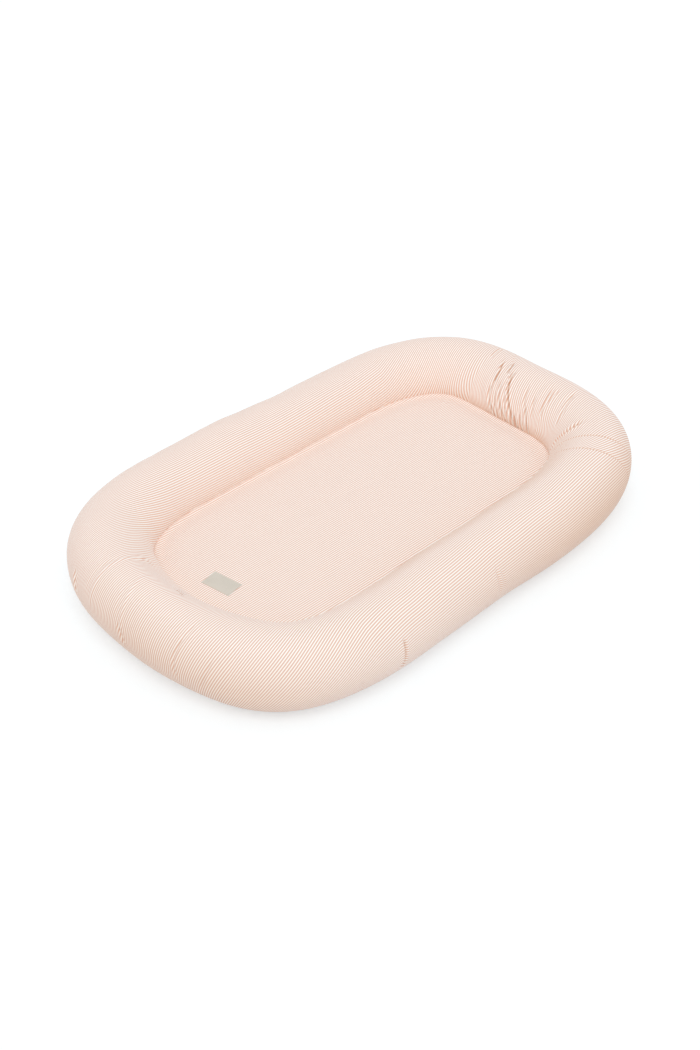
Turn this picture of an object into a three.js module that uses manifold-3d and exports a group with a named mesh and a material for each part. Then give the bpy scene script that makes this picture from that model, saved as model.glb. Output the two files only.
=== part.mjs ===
// Infant lounger: a padded ring of striped cotton round a flat pad, with a zip in the base.
// Millimetres, +Z up, +Y towards the head end, +X the side with the corner seams.
// The origin is on the floor under the middle of the object.
import * as THREE from 'three';
import { mergeVertices } from 'three/addons/utils/BufferGeometryUtils.js';
import Module from 'manifold-3d';

const wasm = await Module();
wasm.setup();

// Line down the middle of the padded ring, seen from above. Each quarter is a superellipse.
const ringHalfLength = 385;
const ringHalfWidth = 235;
const headRightExponent = 2.9;
const footRightExponent = 4.5;
const footLeftExponent = 3.9;
const headLeftExponent = 3.3;
const sideDip = 10;
const headDip = 11.6;
const footSwell = 16.2;
const dipReachShare = 0.8;
const outlineSteps = 360;
const countingError = 1e-9;
const mergeDistance = 1e-4;

// Round section of the ring, flattened where it lies on the floor.
const tubeHalfWidth = 61;
const tubeHalfHeight = 58;
const tubeMiddleHeight = 55.5;
const sleevePoints = 13;
const rollPoints = 10;

// Distances along the ring, clockwise from the middle of the head end.
const gatherPlace = -33.5;
const upperSeamPlace = 214;
const lowerSeamPlace = 246;
const straightStep = 160;
const bendStepDegrees = 17;
const seamGap = 0.3;

// How far a seam runs ahead on the outside of the tube, and on its top.
const gatherLean = -38.5;
const gatherRise = -4.5;
const upperSeamLean = -11;
const lowerSeamLean = -16;
const lowerSeamRise = 6;
const leanReach = 85;

// Cloth of the sleeve, and the roll inside it.
const sleeveWall = 1.2;
const foldDepth = 4.4;
const foldWidth = 13;
const foldRoomShare = 2.2;
const foldEndShare = 1 / 3;
const foldSpacingShare = 1 / 4;
const clothClearance = 0.3;
const rollSlack = 1.8;
const rollCaseWall = 0.8;
const rollEndGap = 6;
const rollMouthWidth = 26;
const fillingEndGap = 1.6;
const rollEndDepth = 24;

// Places of the pleats on the main sleeve, along the ring. The last three are about the middle of
// the foot end.
const rightPleatPlace = 541;
const rightFootPleatPlace = 736;
const footSeamPleatPlace = 953;
const footPleatPlace = 989;
const footRidgeFromMiddle = 74;
const footLeftPleatFromMiddle = 113;

// Pocket for the pad. Heights are above the floor.
const baseHeight = 7.6;
const baseWall = 0.9;
const sleepEdgeHeight = 46;
const sleepHeight = 50;
const panelWall = 1.2;
const rolledEdgeWidth = 10;
const rolledEdgeRise = 3.2;
const rolledEdgeTopShare = 0.35;
const edgeSlopeWidth = 26;
const pocketClearance = 1.4;
const padSideGap = 1;
const padRounding = 9;
const padCaseWall = 0.8;
const padMouthWidth = 240;
const padMouthHeight = 14;
const padMouthDepth = 27;

// Label.
const labelLength = 50;
const labelWidth = 30;
const labelThickness = 0.6;
const labelCorner = 1;
const labelCornerSteps = 3;
const labelTurnDegrees = 8.2;
const labelFromMiddle = 3.4;
const labelFromFoot = 53;

// Zip in the base.
const zipFromMiddle = 150;
const toothPitch = 5;
const chainLength = 250;
const toothReach = 1.5;
const toothBase = 3.2;
const toothHalfHeight = 1.4;
const neckWidth = 1.7;
const headWidth = 2.2;
const firstToothShare = 0.25;
const tapeWidth = 15;
const tapeThickness = 0.8;
const tapeEdge = 2.2;
const beadWidth = 1.2;
const beadHalfHeight = 1;
const tapeSpare = 10;
const stopLength = 3;
const stopHalfHeight = 2.1;
const stopWidth = 2.6;
const stopWall = 0.8;
const slotHalfWidth = 8.6;
const slotEndRoom = 2;
const guardHalfWidth = 12.6;
const guardWall = 0.8;

// Zip slider and pull.
const sliderLength = 17;
const sliderGap = 0.35;
const plateThickness = 1;
const flangeWall = 1;
const dividerLength = 6;
const dividerHalfWidth = 1.6;
const bridgeHalfLength = 4.2;
const bridgeWidth = 1.8;
const bridgeBar = 1;
const bridgeLeg = 1.2;
const bridgeRoom = 2.8;
const pinRadius = 0.8;
const pinSeat = 1;
const pinSides = 8;
const arcSteps = 6;
const pullLength = 26;
const pullWidth = 7;
const pullThickness = 1.4;
const pullHole = 2.6;
const pullTilt = 8;

// How far a cutting box runs past what it cuts.
const overrun = 2;

function bump(share) {
  const rest = Math.max(0, 1 - share * share);
  return rest * rest;
}

function quarterPoint(turn) {
  const c = Math.cos(turn);
  const s = Math.sin(turn);
  const head = s >= 0;
  const right = c >= 0;
  const rightExponent = head ? headRightExponent : footRightExponent;
  const leftExponent = head ? headLeftExponent : footLeftExponent;
  const exponent = 2 / (right ? rightExponent : leftExponent);
  const across = Math.sign(c) * Math.abs(c) ** exponent;
  const along = Math.sign(s) * Math.abs(s) ** exponent;
  const endChange = head ? -headDip : footSwell;
  const x = across * (ringHalfWidth - sideDip * bump(along / dipReachShare));
  const y = along * (ringHalfLength + endChange * bump(across / dipReachShare));
  return new THREE.Vector2(x, y);
}

// The outline runs clockwise from the middle of the head end.
function makeOutline() {
  const points = [];
  for (let i = 0; i < outlineSteps; i += 1) {
    points.push(quarterPoint(Math.PI / 2 - (2 * Math.PI * i) / outlineSteps));
  }
  const xs = points.map((p) => p.x);
  const ys = points.map((p) => p.y);
  const middleX = (Math.max(...xs) + Math.min(...xs)) / 2;
  const middleY = (Math.max(...ys) + Math.min(...ys)) / 2;
  points.forEach((p) => p.set(p.x - middleX, p.y - middleY));
  points.push(points[0]);
  const distances = [0];
  for (let i = 1; i < points.length; i += 1) {
    distances.push(distances[i - 1] + points[i].distanceTo(points[i - 1]));
  }
  return { points, distances, length: distances[distances.length - 1] };
}

const outline = makeOutline();

function outlinePoint(distance) {
  const wrapped = ((distance % outline.length) + outline.length) % outline.length;
  let high = outline.distances.findIndex((d) => d > wrapped);
  if (high < 1) high = outline.points.length - 1;
  const from = outline.distances[high - 1];
  const share = (wrapped - from) / (outline.distances[high] - from);
  return outline.points[high - 1].clone().lerp(outline.points[high], share);
}

// Place and outward direction of the ring's middle line at a distance along it.
function ringAt(distance) {
  const reach = outline.length / outlineSteps;
  const place = outlinePoint(distance);
  const heading = outlinePoint(distance + reach).sub(outlinePoint(distance - reach)).normalize();
  return { place, outward: new THREE.Vector2(-heading.y, heading.x) };
}

function bendBetween(from, to) {
  const a = ringAt(from).outward;
  const b = ringAt(to).outward;
  return THREE.MathUtils.radToDeg(Math.abs(Math.atan2(a.cross(b), a.dot(b))));
}

// Distances from one seam to the next: wide steps on the straights, short ones round the bends.
function stepsBetween(from, to) {
  const sample = outline.length / outlineSteps;
  const count = Math.ceil((to - from) / sample);
  const need = [0];
  for (let i = 1; i <= count; i += 1) {
    const a = from + ((to - from) * (i - 1)) / count;
    const b = from + ((to - from) * i) / count;
    need.push(need[i - 1] + (b - a) / straightStep + bendBetween(a, b) / bendStepDegrees);
  }
  const steps = Math.max(2, Math.round(need[count]));
  const places = [];
  for (let k = 0; k <= steps; k += 1) {
    const wanted = (need[count] * k) / steps;
    const high = Math.max(1, need.findIndex((n) => n >= wanted - countingError));
    const share = (wanted - need[high - 1]) / (need[high] - need[high - 1]);
    places.push(from + ((to - from) * (high - 1 + share)) / count);
  }
  return places;
}

// Lean and rise of the stations near the seams, fading out away from them.
const leans = [
  { place: gatherPlace, lean: gatherLean, rise: gatherRise },
  { place: upperSeamPlace, lean: upperSeamLean, rise: 0 },
  { place: lowerSeamPlace, lean: lowerSeamLean, rise: lowerSeamRise },
];

function nearest(distance) {
  const turns = Math.round(distance / outline.length);
  return distance - turns * outline.length;
}

function leanAt(distance) {
  const d = nearest(distance);
  if (d > upperSeamPlace && d < lowerSeamPlace) {
    const share = (d - upperSeamPlace) / (lowerSeamPlace - upperSeamPlace);
    const lean = THREE.MathUtils.lerp(upperSeamLean, lowerSeamLean, share);
    return { lean, rise: lowerSeamRise * share };
  }
  const near = leans.reduce((a, b) => (Math.abs(b.place - d) < Math.abs(a.place - d) ? b : a));
  const fade = Math.max(0, 1 - Math.abs(near.place - d) / leanReach);
  return { lean: near.lean * fade, rise: near.rise * fade };
}

// A fold or pleat: its place on the ring, its depth as a share of the fold depth (negative for a
// ridge) and the turn of the section where it is deepest and how wide it reaches, in degrees.
const footMiddle = outline.length / 2;
const gatherFolds = [
  { placeShare: 0.6, depthShare: 1, turn: 130, reach: 80 },
  { placeShare: 1.8, depthShare: 0.9, turn: 140, reach: 75 },
  { placeShare: 3, depthShare: 0.8, turn: 145, reach: 70 },
  { placeShare: 4.4, depthShare: 0.5, turn: 150, reach: 65 },
  { placeShare: 7.6, depthShare: 0.4, turn: 120, reach: 50 },
].map((fold) => ({ ...fold, place: gatherPlace + foldWidth * fold.placeShare }));
const backFoldShare = 0.7;
const backFoldPlace = outline.length + gatherPlace - foldWidth * backFoldShare;
const sleeveFolds = [
  { place: rightPleatPlace, depthShare: 0.5, turn: -20, reach: 50 },
  { place: rightFootPleatPlace, depthShare: 0.65, turn: -25, reach: 60 },
  { place: footSeamPleatPlace, depthShare: 0.65, turn: -15, reach: 60 },
  { place: footPleatPlace, depthShare: 0.6, turn: 15, reach: 70 },
  { place: footMiddle, depthShare: 0.65, turn: -35, reach: 55 },
  { place: footMiddle + footRidgeFromMiddle, depthShare: -0.6, turn: 60, reach: 75 },
  { place: footMiddle + footLeftPleatFromMiddle, depthShare: 0.65, turn: -35, reach: 55 },
  { place: backFoldPlace, depthShare: 0.8, turn: 125, reach: 75 },
];

function foldAt(folds, distance, turn) {
  let depth = 0;
  folds.forEach((fold) => {
    const away = Math.abs(distance - fold.place) / foldWidth;
    const round = Math.abs(turn - fold.turn) / fold.reach;
    depth += foldDepth * fold.depthShare * Math.max(0, 1 - away) * bump(round);
  });
  return depth;
}

// Distances with three stations at each fold, and none of the plain ones close beside it.
function stationsWithFolds(from, to, folds) {
  const near = (place) => folds.some((f) => Math.abs(f.place - place) < foldRoomShare * foldWidth);
  const plain = stepsBetween(from, to).filter((p, i, all) => i === 0 || i === all.length - 1 || !near(p));
  const extra = [];
  folds.forEach((fold) => {
    [-foldWidth, 0, foldWidth].forEach((shift) => extra.push(fold.place + shift));
  });
  const room = foldWidth * foldEndShare;
  const inside = extra.filter((p) => p > from + room && p < to - room);
  const sorted = [...plain, ...inside].sort((a, b) => a - b);
  return sorted.filter((p, i) => i === 0 || p - sorted[i - 1] > foldWidth * foldSpacingShare);
}

// Turn of the section where it leaves the floor, on its outer side.
const sectionLow = -Math.asin(tubeMiddleHeight / tubeHalfHeight);

function sectionTurn(index, points) {
  return sectionLow + ((Math.PI - 2 * sectionLow) * index) / (points - 1);
}

// The points of one section of the ring: `inset` in from the outer cloth, flat at `floor`.
function sectionPoints(distance, inset, floor, points, folds = [], scale = 1) {
  const halfWidth = tubeHalfWidth - inset;
  const halfHeight = tubeHalfHeight - inset;
  const middle = floor + (halfHeight * tubeMiddleHeight) / tubeHalfHeight;
  const { lean, rise } = leanAt(distance);
  const ring = [];
  for (let j = 0; j < points; j += 1) {
    const turn = sectionTurn(j, points);
    const fold = foldAt(folds, distance, THREE.MathUtils.radToDeg(turn));
    const { place, outward } = ringAt(distance + lean * Math.cos(turn) + rise * Math.sin(turn));
    const out = scale * (halfWidth - fold) * Math.cos(turn);
    const lift = turn > 0 ? fold : 0;
    const up = middle + (halfHeight - lift) * Math.sin(turn);
    const z = floor + (Math.max(floor, up) - floor) * scale;
    ring.push(new THREE.Vector3(place.x + outward.x * out, place.y + outward.y * out, z));
  }
  return ring;
}

function geometryFrom(corners, triangles) {
  const geometry = new THREE.BufferGeometry();
  const numbers = corners.flatMap((v) => v.toArray());
  geometry.setAttribute('position', new THREE.Float32BufferAttribute(numbers, 3));
  geometry.setIndex(triangles.flat());
  return geometry;
}

function toSolid(geometry) {
  const plain = geometry.clone();
  plain.deleteAttribute('normal');
  plain.deleteAttribute('uv');
  const merged = mergeVertices(plain, mergeDistance);
  return new wasm.Manifold(new wasm.Mesh({
    numProp: 3,
    vertProperties: new Float32Array(merged.attributes.position.array),
    triVerts: new Uint32Array(merged.index.array),
  }));
}

function toGeometry(solid) {
  const mesh = solid.getMesh();
  const geometry = new THREE.BufferGeometry();
  geometry.setAttribute('position', new THREE.BufferAttribute(mesh.vertProperties, 3));
  geometry.setIndex(new THREE.BufferAttribute(mesh.triVerts, 1));
  return geometry;
}

// Joins rings of equal length into a closed solid, with a fan over the first and the last.
function solidFromRings(rings) {
  const count = rings[0].length;
  const corners = rings.flat();
  const triangles = [];
  for (let k = 0; k + 1 < rings.length; k += 1) {
    for (let j = 0; j < count; j += 1) {
      const a = k * count + j;
      const b = k * count + ((j + 1) % count);
      triangles.push([a, b, b + count], [a, b + count, a + count]);
    }
  }
  [rings[0], rings[rings.length - 1]].forEach((ring, end) => {
    const middle = ring.reduce((sum, v) => sum.add(v), new THREE.Vector3()).divideScalar(count);
    const centre = corners.push(middle) - 1;
    const start = end === 0 ? 0 : (rings.length - 1) * count;
    for (let j = 0; j < count; j += 1) {
      const a = start + j;
      const b = start + ((j + 1) % count);
      triangles.push(end === 0 ? [centre, b, a] : [centre, a, b]);
    }
  });
  return geometryFrom(corners, triangles);
}

// A length of cloth tube, open at both ends.
function sleeveGeometry(places, folds) {
  const outer = places.map((d) => sectionPoints(d, 0, 0, sleevePoints, folds));
  const inner = places.map((d) => sectionPoints(d, sleeveWall, sleeveWall, sleevePoints, folds));
  const count = sleevePoints;
  const last = places.length - 1;
  const corners = [...outer.flat(), ...inner.flat()];
  const inside = outer.length * count;
  const triangles = [];
  for (let k = 0; k < last; k += 1) {
    for (let j = 0; j < count; j += 1) {
      const a = k * count + j;
      const b = k * count + ((j + 1) % count);
      triangles.push([a, b, b + count], [a, b + count, a + count]);
      triangles.push([a + inside, b + inside + count, b + inside]);
      triangles.push([a + inside, a + inside + count, b + inside + count]);
    }
  }
  for (let j = 0; j < count; j += 1) {
    const a = j;
    const b = (j + 1) % count;
    const c = last * count + a;
    const d = last * count + b;
    triangles.push([a, b + inside, b], [a, a + inside, b + inside]);
    triangles.push([c, d, d + inside], [c, d + inside, c + inside]);
  }
  return geometryFrom(corners, triangles);
}

// The roll runs right round the ring, with rounded ends that meet under the gathers.
function rollSolid(inset, floor, endTrim) {
  const from = gatherPlace + rollEndGap / 2 + endTrim;
  const to = outline.length + gatherPlace - rollEndGap / 2 - endTrim;
  const places = stepsBetween(from + rollEndDepth, to - rollEndDepth);
  const full = places.map((d) => sectionPoints(d, inset, floor, rollPoints));
  const half = Math.SQRT1_2;
  const rounded = [
    { share: 1, scale: half / 2 },
    { share: 1 - half / 2, scale: half },
  ];
  const roundedAt = (end, side) => rounded.map((r) => (
    sectionPoints(end + side * rollEndDepth * (1 - r.share), inset, floor, rollPoints, [], r.scale)));
  const first = roundedAt(from, 1);
  const final = roundedAt(to, -1);
  return toSolid(solidFromRings([...first, ...full, ...final.reverse()]));
}

function boxSolid(low, high) {
  const size = new THREE.Vector3().subVectors(high, low);
  const box = new THREE.BoxGeometry(size.x, size.y, size.z);
  const middle = new THREE.Vector3().addVectors(low, high).multiplyScalar(0.5);
  return toSolid(box.translate(middle.x, middle.y, middle.z));
}

// An outline in the XY plane raised from one height to another.
function plateSolid(shape, low, high) {
  const plate = new THREE.ExtrudeGeometry(shape, {
    depth: high - low, bevelEnabled: false, curveSegments: arcSteps,
  });
  return toSolid(plate.translate(0, 0, low));
}

function shapeFrom(points) {
  return new THREE.Shape(points.map(([x, y]) => new THREE.Vector2(x, y)));
}

function roundedRectangle(length, width, radius) {
  const x = length / 2;
  const y = width / 2;
  const shape = new THREE.Shape();
  shape.moveTo(-x + radius, -y);
  shape.lineTo(x - radius, -y);
  shape.absarc(x - radius, -y + radius, radius, -Math.PI / 2, 0);
  shape.lineTo(x, y - radius);
  shape.absarc(x - radius, y - radius, radius, 0, Math.PI / 2);
  shape.lineTo(-x + radius, y);
  shape.absarc(-x + radius, y - radius, radius, Math.PI / 2, Math.PI);
  shape.lineTo(-x, -y + radius);
  shape.absarc(-x + radius, -y + radius, radius, Math.PI, 1.5 * Math.PI);
  return shape;
}

const group = new THREE.Group();

function addPiece(name, geometry, look) {
  const mesh = new THREE.Mesh(geometry, new THREE.MeshStandardMaterial(look));
  mesh.name = name;
  group.add(mesh);
  return mesh;
}

const stripedCotton = { color: 0xf8dfd2, roughness: 0.9, metalness: 0 };
const plainCotton = { color: 0xf6efe9, roughness: 0.92, metalness: 0 };
const foamLook = { color: 0xf3eee2, roughness: 0.95, metalness: 0 };
const labelLook = { color: 0xd5cfc3, roughness: 0.8, metalness: 0 };
const tapeLook = { color: 0xf2e4dc, roughness: 0.85, metalness: 0 };
const toothPlastic = { color: 0xf0e0d8, roughness: 0.45, metalness: 0 };

// Sleeve panels, end to end round the ring.
function addSleeves() {
  const ringEnd = outline.length + gatherPlace;
  const half = seamGap / 2;
  const headPlaces = stationsWithFolds(gatherPlace + half, upperSeamPlace - half, gatherFolds);
  const gussetPlaces = stepsBetween(upperSeamPlace + half, lowerSeamPlace - half);
  const mainPlaces = stationsWithFolds(lowerSeamPlace + half, ringEnd - half, sleeveFolds);
  addPiece('head_sleeve', sleeveGeometry(headPlaces, gatherFolds), stripedCotton);
  addPiece('corner_gusset', sleeveGeometry(gussetPlaces, []), stripedCotton);
  addPiece('bumper_sleeve', sleeveGeometry(mainPlaces, sleeveFolds), stripedCotton);
}

// Roll of filling in its lining bag. The bag's mouth is at the end that meets the main sleeve.
function addRoll() {
  const caseInset = sleeveWall + foldDepth + rollSlack;
  const caseFloor = sleeveWall + clothClearance;
  const lining = caseInset + rollCaseWall;
  const liningFloor = caseFloor + rollCaseWall;
  const outside = rollSolid(caseInset, caseFloor, 0);
  const inside = rollSolid(lining, liningFloor, rollCaseWall);
  const fillingTrim = rollCaseWall + fillingEndGap;
  const filling = rollSolid(lining + clothClearance, liningFloor + clothClearance, fillingTrim);
  const mouthEnd = ringAt(outline.length + gatherPlace - rollEndGap / 2).place;
  const reach = rollMouthWidth / 2;
  const mouthLow = new THREE.Vector3(mouthEnd.x - reach, mouthEnd.y - reach, liningFloor);
  const mouthTop = liningFloor + rollMouthWidth;
  const mouthHigh = new THREE.Vector3(mouthEnd.x + reach, mouthEnd.y + reach, mouthTop);
  const bag = outside.subtract(inside).subtract(boxSolid(mouthLow, mouthHigh));
  addPiece('roll_case', toGeometry(bag), plainCotton);
  addPiece('roll_filling', toGeometry(filling), foamLook);
}

// Half-width of the sleeve's faceted section at a height above the floor.
function sleeveHalfWidthAt(height) {
  let width = 0;
  for (let j = 0; j + 1 < sleevePoints; j += 1) {
    const a = sectionTurn(j, sleevePoints);
    const b = sectionTurn(j + 1, sleevePoints);
    const za = tubeMiddleHeight + tubeHalfHeight * Math.sin(a);
    const zb = tubeMiddleHeight + tubeHalfHeight * Math.sin(b);
    if (za <= height && height <= zb) {
      const share = (height - za) / (zb - za);
      width = tubeHalfWidth * THREE.MathUtils.lerp(Math.cos(a), Math.cos(b), share);
    }
  }
  return width;
}

const pocketPlaces = stepsBetween(gatherPlace, outline.length + gatherPlace).slice(0, -1);

// A ring of points `inset` inside the middle line of the tube, anticlockwise seen from above.
function pocketRing(inset, height) {
  const ring = pocketPlaces.map((d) => {
    const { place, outward } = ringAt(d);
    return new THREE.Vector3(place.x - outward.x * inset, place.y - outward.y * inset, height);
  });
  return ring.reverse();
}

function pocketSolid(steps) {
  return toSolid(solidFromRings(steps.map(([inset, height]) => pocketRing(inset, height))));
}

const baseTop = baseHeight + baseWall;
const tapeLow = baseTop + clothClearance;
const zipHeight = tapeLow + tapeThickness / 2;
const zipY = -zipFromMiddle;
const channelHalfHeight = toothHalfHeight + sliderGap;
const sliderTop = zipHeight + channelHalfHeight + plateThickness;
const sliderLow = zipHeight - channelHalfHeight - plateThickness;
const guardLow = sliderTop + clothClearance;
const guardTop = guardLow + guardWall;
const chainEnd = chainLength / 2;
const closedFrontMouth = chainEnd + sliderLength / 2;
const zipStart = -chainEnd - stopLength - slotEndRoom;
const zipFinish = closedFrontMouth + stopLength + slotEndRoom;
const tapeReach = tapeEdge + tapeWidth;

function addSleepPanel() {
  const edge = sleeveHalfWidthAt(sleepEdgeHeight) + pocketClearance;
  const under = sleeveHalfWidthAt(sleepEdgeHeight - panelWall) + pocketClearance;
  const panel = pocketSolid([
    [edge + edgeSlopeWidth, sleepHeight - panelWall],
    [under, sleepEdgeHeight - panelWall],
    [edge, sleepEdgeHeight],
    [edge + rolledEdgeWidth * rolledEdgeTopShare, sleepEdgeHeight + rolledEdgeRise],
    [edge + rolledEdgeWidth, sleepEdgeHeight + rolledEdgeRise / 2],
    [edge + edgeSlopeWidth, sleepHeight],
  ]);
  addPiece('sleep_panel', toGeometry(panel), stripedCotton);
}

// The pad's outline with rounded edges, and the dent over the zip.
function padSolid(inset) {
  const side = tubeHalfWidth + padSideGap + inset;
  const low = baseTop + clothClearance + inset;
  const top = sleepHeight - panelWall - clothClearance - inset;
  const sideTop = sleepEdgeHeight - panelWall - rolledEdgeRise - inset;
  const body = pocketSolid([
    [side + padRounding, low],
    [side, low + padRounding],
    [side, sideTop - padRounding / 2],
    [side + padRounding / 2, sideTop],
    [side + edgeSlopeWidth, top],
  ]);
  const room = clothClearance + inset;
  const reachY = tapeReach + room;
  const dentLow = new THREE.Vector3(zipStart - tapeSpare - room, zipY - reachY, 0);
  const dentHigh = new THREE.Vector3(zipFinish + tapeSpare + room, zipY + reachY, guardTop + room);
  return body.subtract(boxSolid(dentLow, dentHigh));
}

function addPad() {
  const outside = padSolid(0);
  const inside = padSolid(padCaseWall);
  const core = padSolid(padCaseWall + clothClearance);
  const headEdge = ringAt(0).place.y - tubeHalfWidth;
  const mouthLow = new THREE.Vector3(-padMouthWidth / 2, headEdge - padMouthDepth, baseTop + padRounding);
  const mouthTop = baseTop + padRounding + padMouthHeight;
  const mouthHigh = new THREE.Vector3(padMouthWidth / 2, headEdge + tubeHalfWidth, mouthTop);
  const cover = outside.subtract(inside).subtract(boxSolid(mouthLow, mouthHigh));
  addPiece('pad_case', toGeometry(cover), plainCotton);
  addPiece('pad_core', toGeometry(core), foamLook);
}

function addBasePanels() {
  const lowInset = sleeveHalfWidthAt(baseHeight) + pocketClearance;
  const topInset = sleeveHalfWidthAt(baseTop) + pocketClearance;
  const sheet = pocketSolid([[lowInset, baseHeight], [topInset, baseTop]]);
  const low = baseHeight - overrun;
  const high = baseTop + overrun;
  const slotLow = new THREE.Vector3(zipStart, zipY - slotHalfWidth, low);
  const slotHigh = new THREE.Vector3(zipFinish, zipY + slotHalfWidth, high);
  const cut = sheet.subtract(boxSolid(slotLow, slotHigh));
  const far = ringHalfLength + tubeHalfWidth + footSwell;
  const headLow = new THREE.Vector3(-far, zipY + seamGap / 2, low);
  const headPart = boxSolid(headLow, new THREE.Vector3(far, far, high));
  const footHigh = new THREE.Vector3(far, zipY - seamGap / 2, high);
  const footPart = boxSolid(new THREE.Vector3(-far, -far, low), footHigh);
  addPiece('base_panel_head', toGeometry(cut.intersect(headPart)), stripedCotton);
  addPiece('base_panel_foot', toGeometry(cut.intersect(footPart)), stripedCotton);
}

function addLabel() {
  const shape = roundedRectangle(labelLength, labelWidth, labelCorner);
  const label = new THREE.ExtrudeGeometry(shape, {
    depth: labelThickness, bevelEnabled: false, curveSegments: labelCornerSteps,
  });
  const mesh = addPiece('label', label, labelLook);
  mesh.rotation.z = THREE.MathUtils.degToRad(labelTurnDegrees);
  const footEdge = ringAt(footMiddle).place.y + tubeHalfWidth;
  mesh.position.set(-labelFromMiddle, footEdge + labelFromFoot, sleepHeight + clothClearance);
}

// One tooth of the head-side row, with its middle at x. The head locks behind two opposite necks.
function toothShape(x) {
  const neck = neckWidth / 2;
  const head = headWidth / 2;
  return shapeFrom([
    [x - neck, toothBase],
    [x - head, -toothReach / 4],
    [x - neck, -toothReach],
    [x + neck, -toothReach],
    [x + head, -toothReach / 4],
    [x + neck, toothBase],
  ]);
}

// Tape, bead and teeth of one side, moulded together. The opposite row sits half a pitch along.
function stringerSolid(shift) {
  const tapeStart = zipStart - tapeSpare;
  const tapeFinish = zipFinish + tapeSpare;
  const halfTape = tapeThickness / 2;
  const tapeLowCorner = new THREE.Vector3(tapeStart, tapeEdge, -halfTape);
  const tapeHighCorner = new THREE.Vector3(tapeFinish, tapeReach, halfTape);
  const beadLow = new THREE.Vector3(zipStart + clothClearance, tapeEdge, -beadHalfHeight);
  const beadHigh = new THREE.Vector3(zipFinish - clothClearance, tapeEdge + beadWidth, beadHalfHeight);
  const cloth = boxSolid(tapeLowCorner, tapeHighCorner).add(boxSolid(beadLow, beadHigh));
  const teeth = [];
  const count = Math.floor(chainLength / toothPitch);
  for (let i = 0; i < count; i += 1) {
    const x = -chainEnd + toothPitch * (i + firstToothShare) + shift;
    teeth.push(plateSolid(toothShape(x), -toothHalfHeight, toothHalfHeight));
  }
  return teeth.reduce((sum, tooth) => sum.add(tooth), cloth);
}

function addStringers() {
  const head = addPiece('zip_stringer_head', toGeometry(stringerSolid(0)), tapeLook);
  head.position.set(0, zipY, zipHeight);
  const opposite = stringerSolid(toothPitch / 2).mirror([0, 1, 0]);
  const foot = addPiece('zip_stringer_foot', toGeometry(opposite), tapeLook);
  foot.position.set(0, zipY, zipHeight);
}

// Stops clamp over the beads: plates above and below, joined beside the bead.
function stopProfile(sides) {
  const web = tapeEdge - clothClearance;
  const outer = web + stopWidth;
  const room = stopHalfHeight - stopWall;
  const right = [
    [outer, -stopHalfHeight], [outer, -room], [web, -room],
    [web, room], [outer, room], [outer, stopHalfHeight],
  ];
  const left = right.map(([y, z]) => [-y, -z]);
  const inner = web - stopWall;
  const innerEdge = [[inner, stopHalfHeight], [inner, -stopHalfHeight]];
  return shapeFrom(sides === 2 ? [...right, ...left] : [...right, ...innerEdge]);
}

// A profile in the YZ plane drawn out along X.
function alongX(shape, from, length) {
  const bar = new THREE.ExtrudeGeometry(shape, { depth: length, bevelEnabled: false });
  bar.applyMatrix4(new THREE.Matrix4().makeBasis(
    new THREE.Vector3(0, 1, 0), new THREE.Vector3(0, 0, 1), new THREE.Vector3(1, 0, 0)));
  return bar.translate(from, 0, 0);
}

function addStops() {
  const topPlace = closedFrontMouth + seamGap;
  const upper = toSolid(alongX(stopProfile(1), topPlace, stopLength));
  const head = addPiece('zip_top_stop_head', toGeometry(upper), toothPlastic);
  head.position.set(0, zipY, zipHeight);
  const foot = addPiece('zip_top_stop_foot', toGeometry(upper.mirror([0, 1, 0])), toothPlastic);
  foot.position.set(0, zipY, zipHeight);
  const bottomPlace = -chainEnd - stopLength - seamGap;
  const bottom = addPiece('zip_bottom_stop', alongX(stopProfile(2), bottomPlace, stopLength), toothPlastic);
  bottom.position.set(0, zipY, zipHeight);
}

// Strip of cloth between the teeth and the pad, stepped down to the tape it is sewn to.
function addGuard() {
  const seat = tapeLow + tapeThickness + clothClearance;
  const step = guardHalfWidth;
  const foot = tapeReach - clothClearance;
  const profile = shapeFrom([
    [-guardHalfWidth, guardLow], [step, guardLow], [step + guardWall, seat], [foot, seat],
    [foot, seat + guardWall], [step + 2 * guardWall, seat + guardWall], [step + guardWall, guardTop],
    [-guardHalfWidth, guardTop],
  ]);
  const strip = alongX(profile, zipStart - tapeSpare, zipFinish - zipStart + 2 * tapeSpare);
  const mesh = addPiece('zip_guard', strip, plainCotton);
  mesh.position.set(0, zipY, 0);
}

// Inner half-width of the slider's channel: one closed chain at the back, two rows at the front.
const backHalf = toothBase + sliderGap + clothClearance;
const frontHalf = dividerHalfWidth + toothBase + toothReach + 2 * sliderGap;

function sliderOutline(extra) {
  const end = sliderLength / 2;
  const back = backHalf + extra;
  const front = frontHalf + extra;
  return [
    [-end, -back], [0, -back], [end / 2, -front], [end, -front],
    [end, front], [end / 2, front], [0, back], [-end, back],
  ];
}

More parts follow.
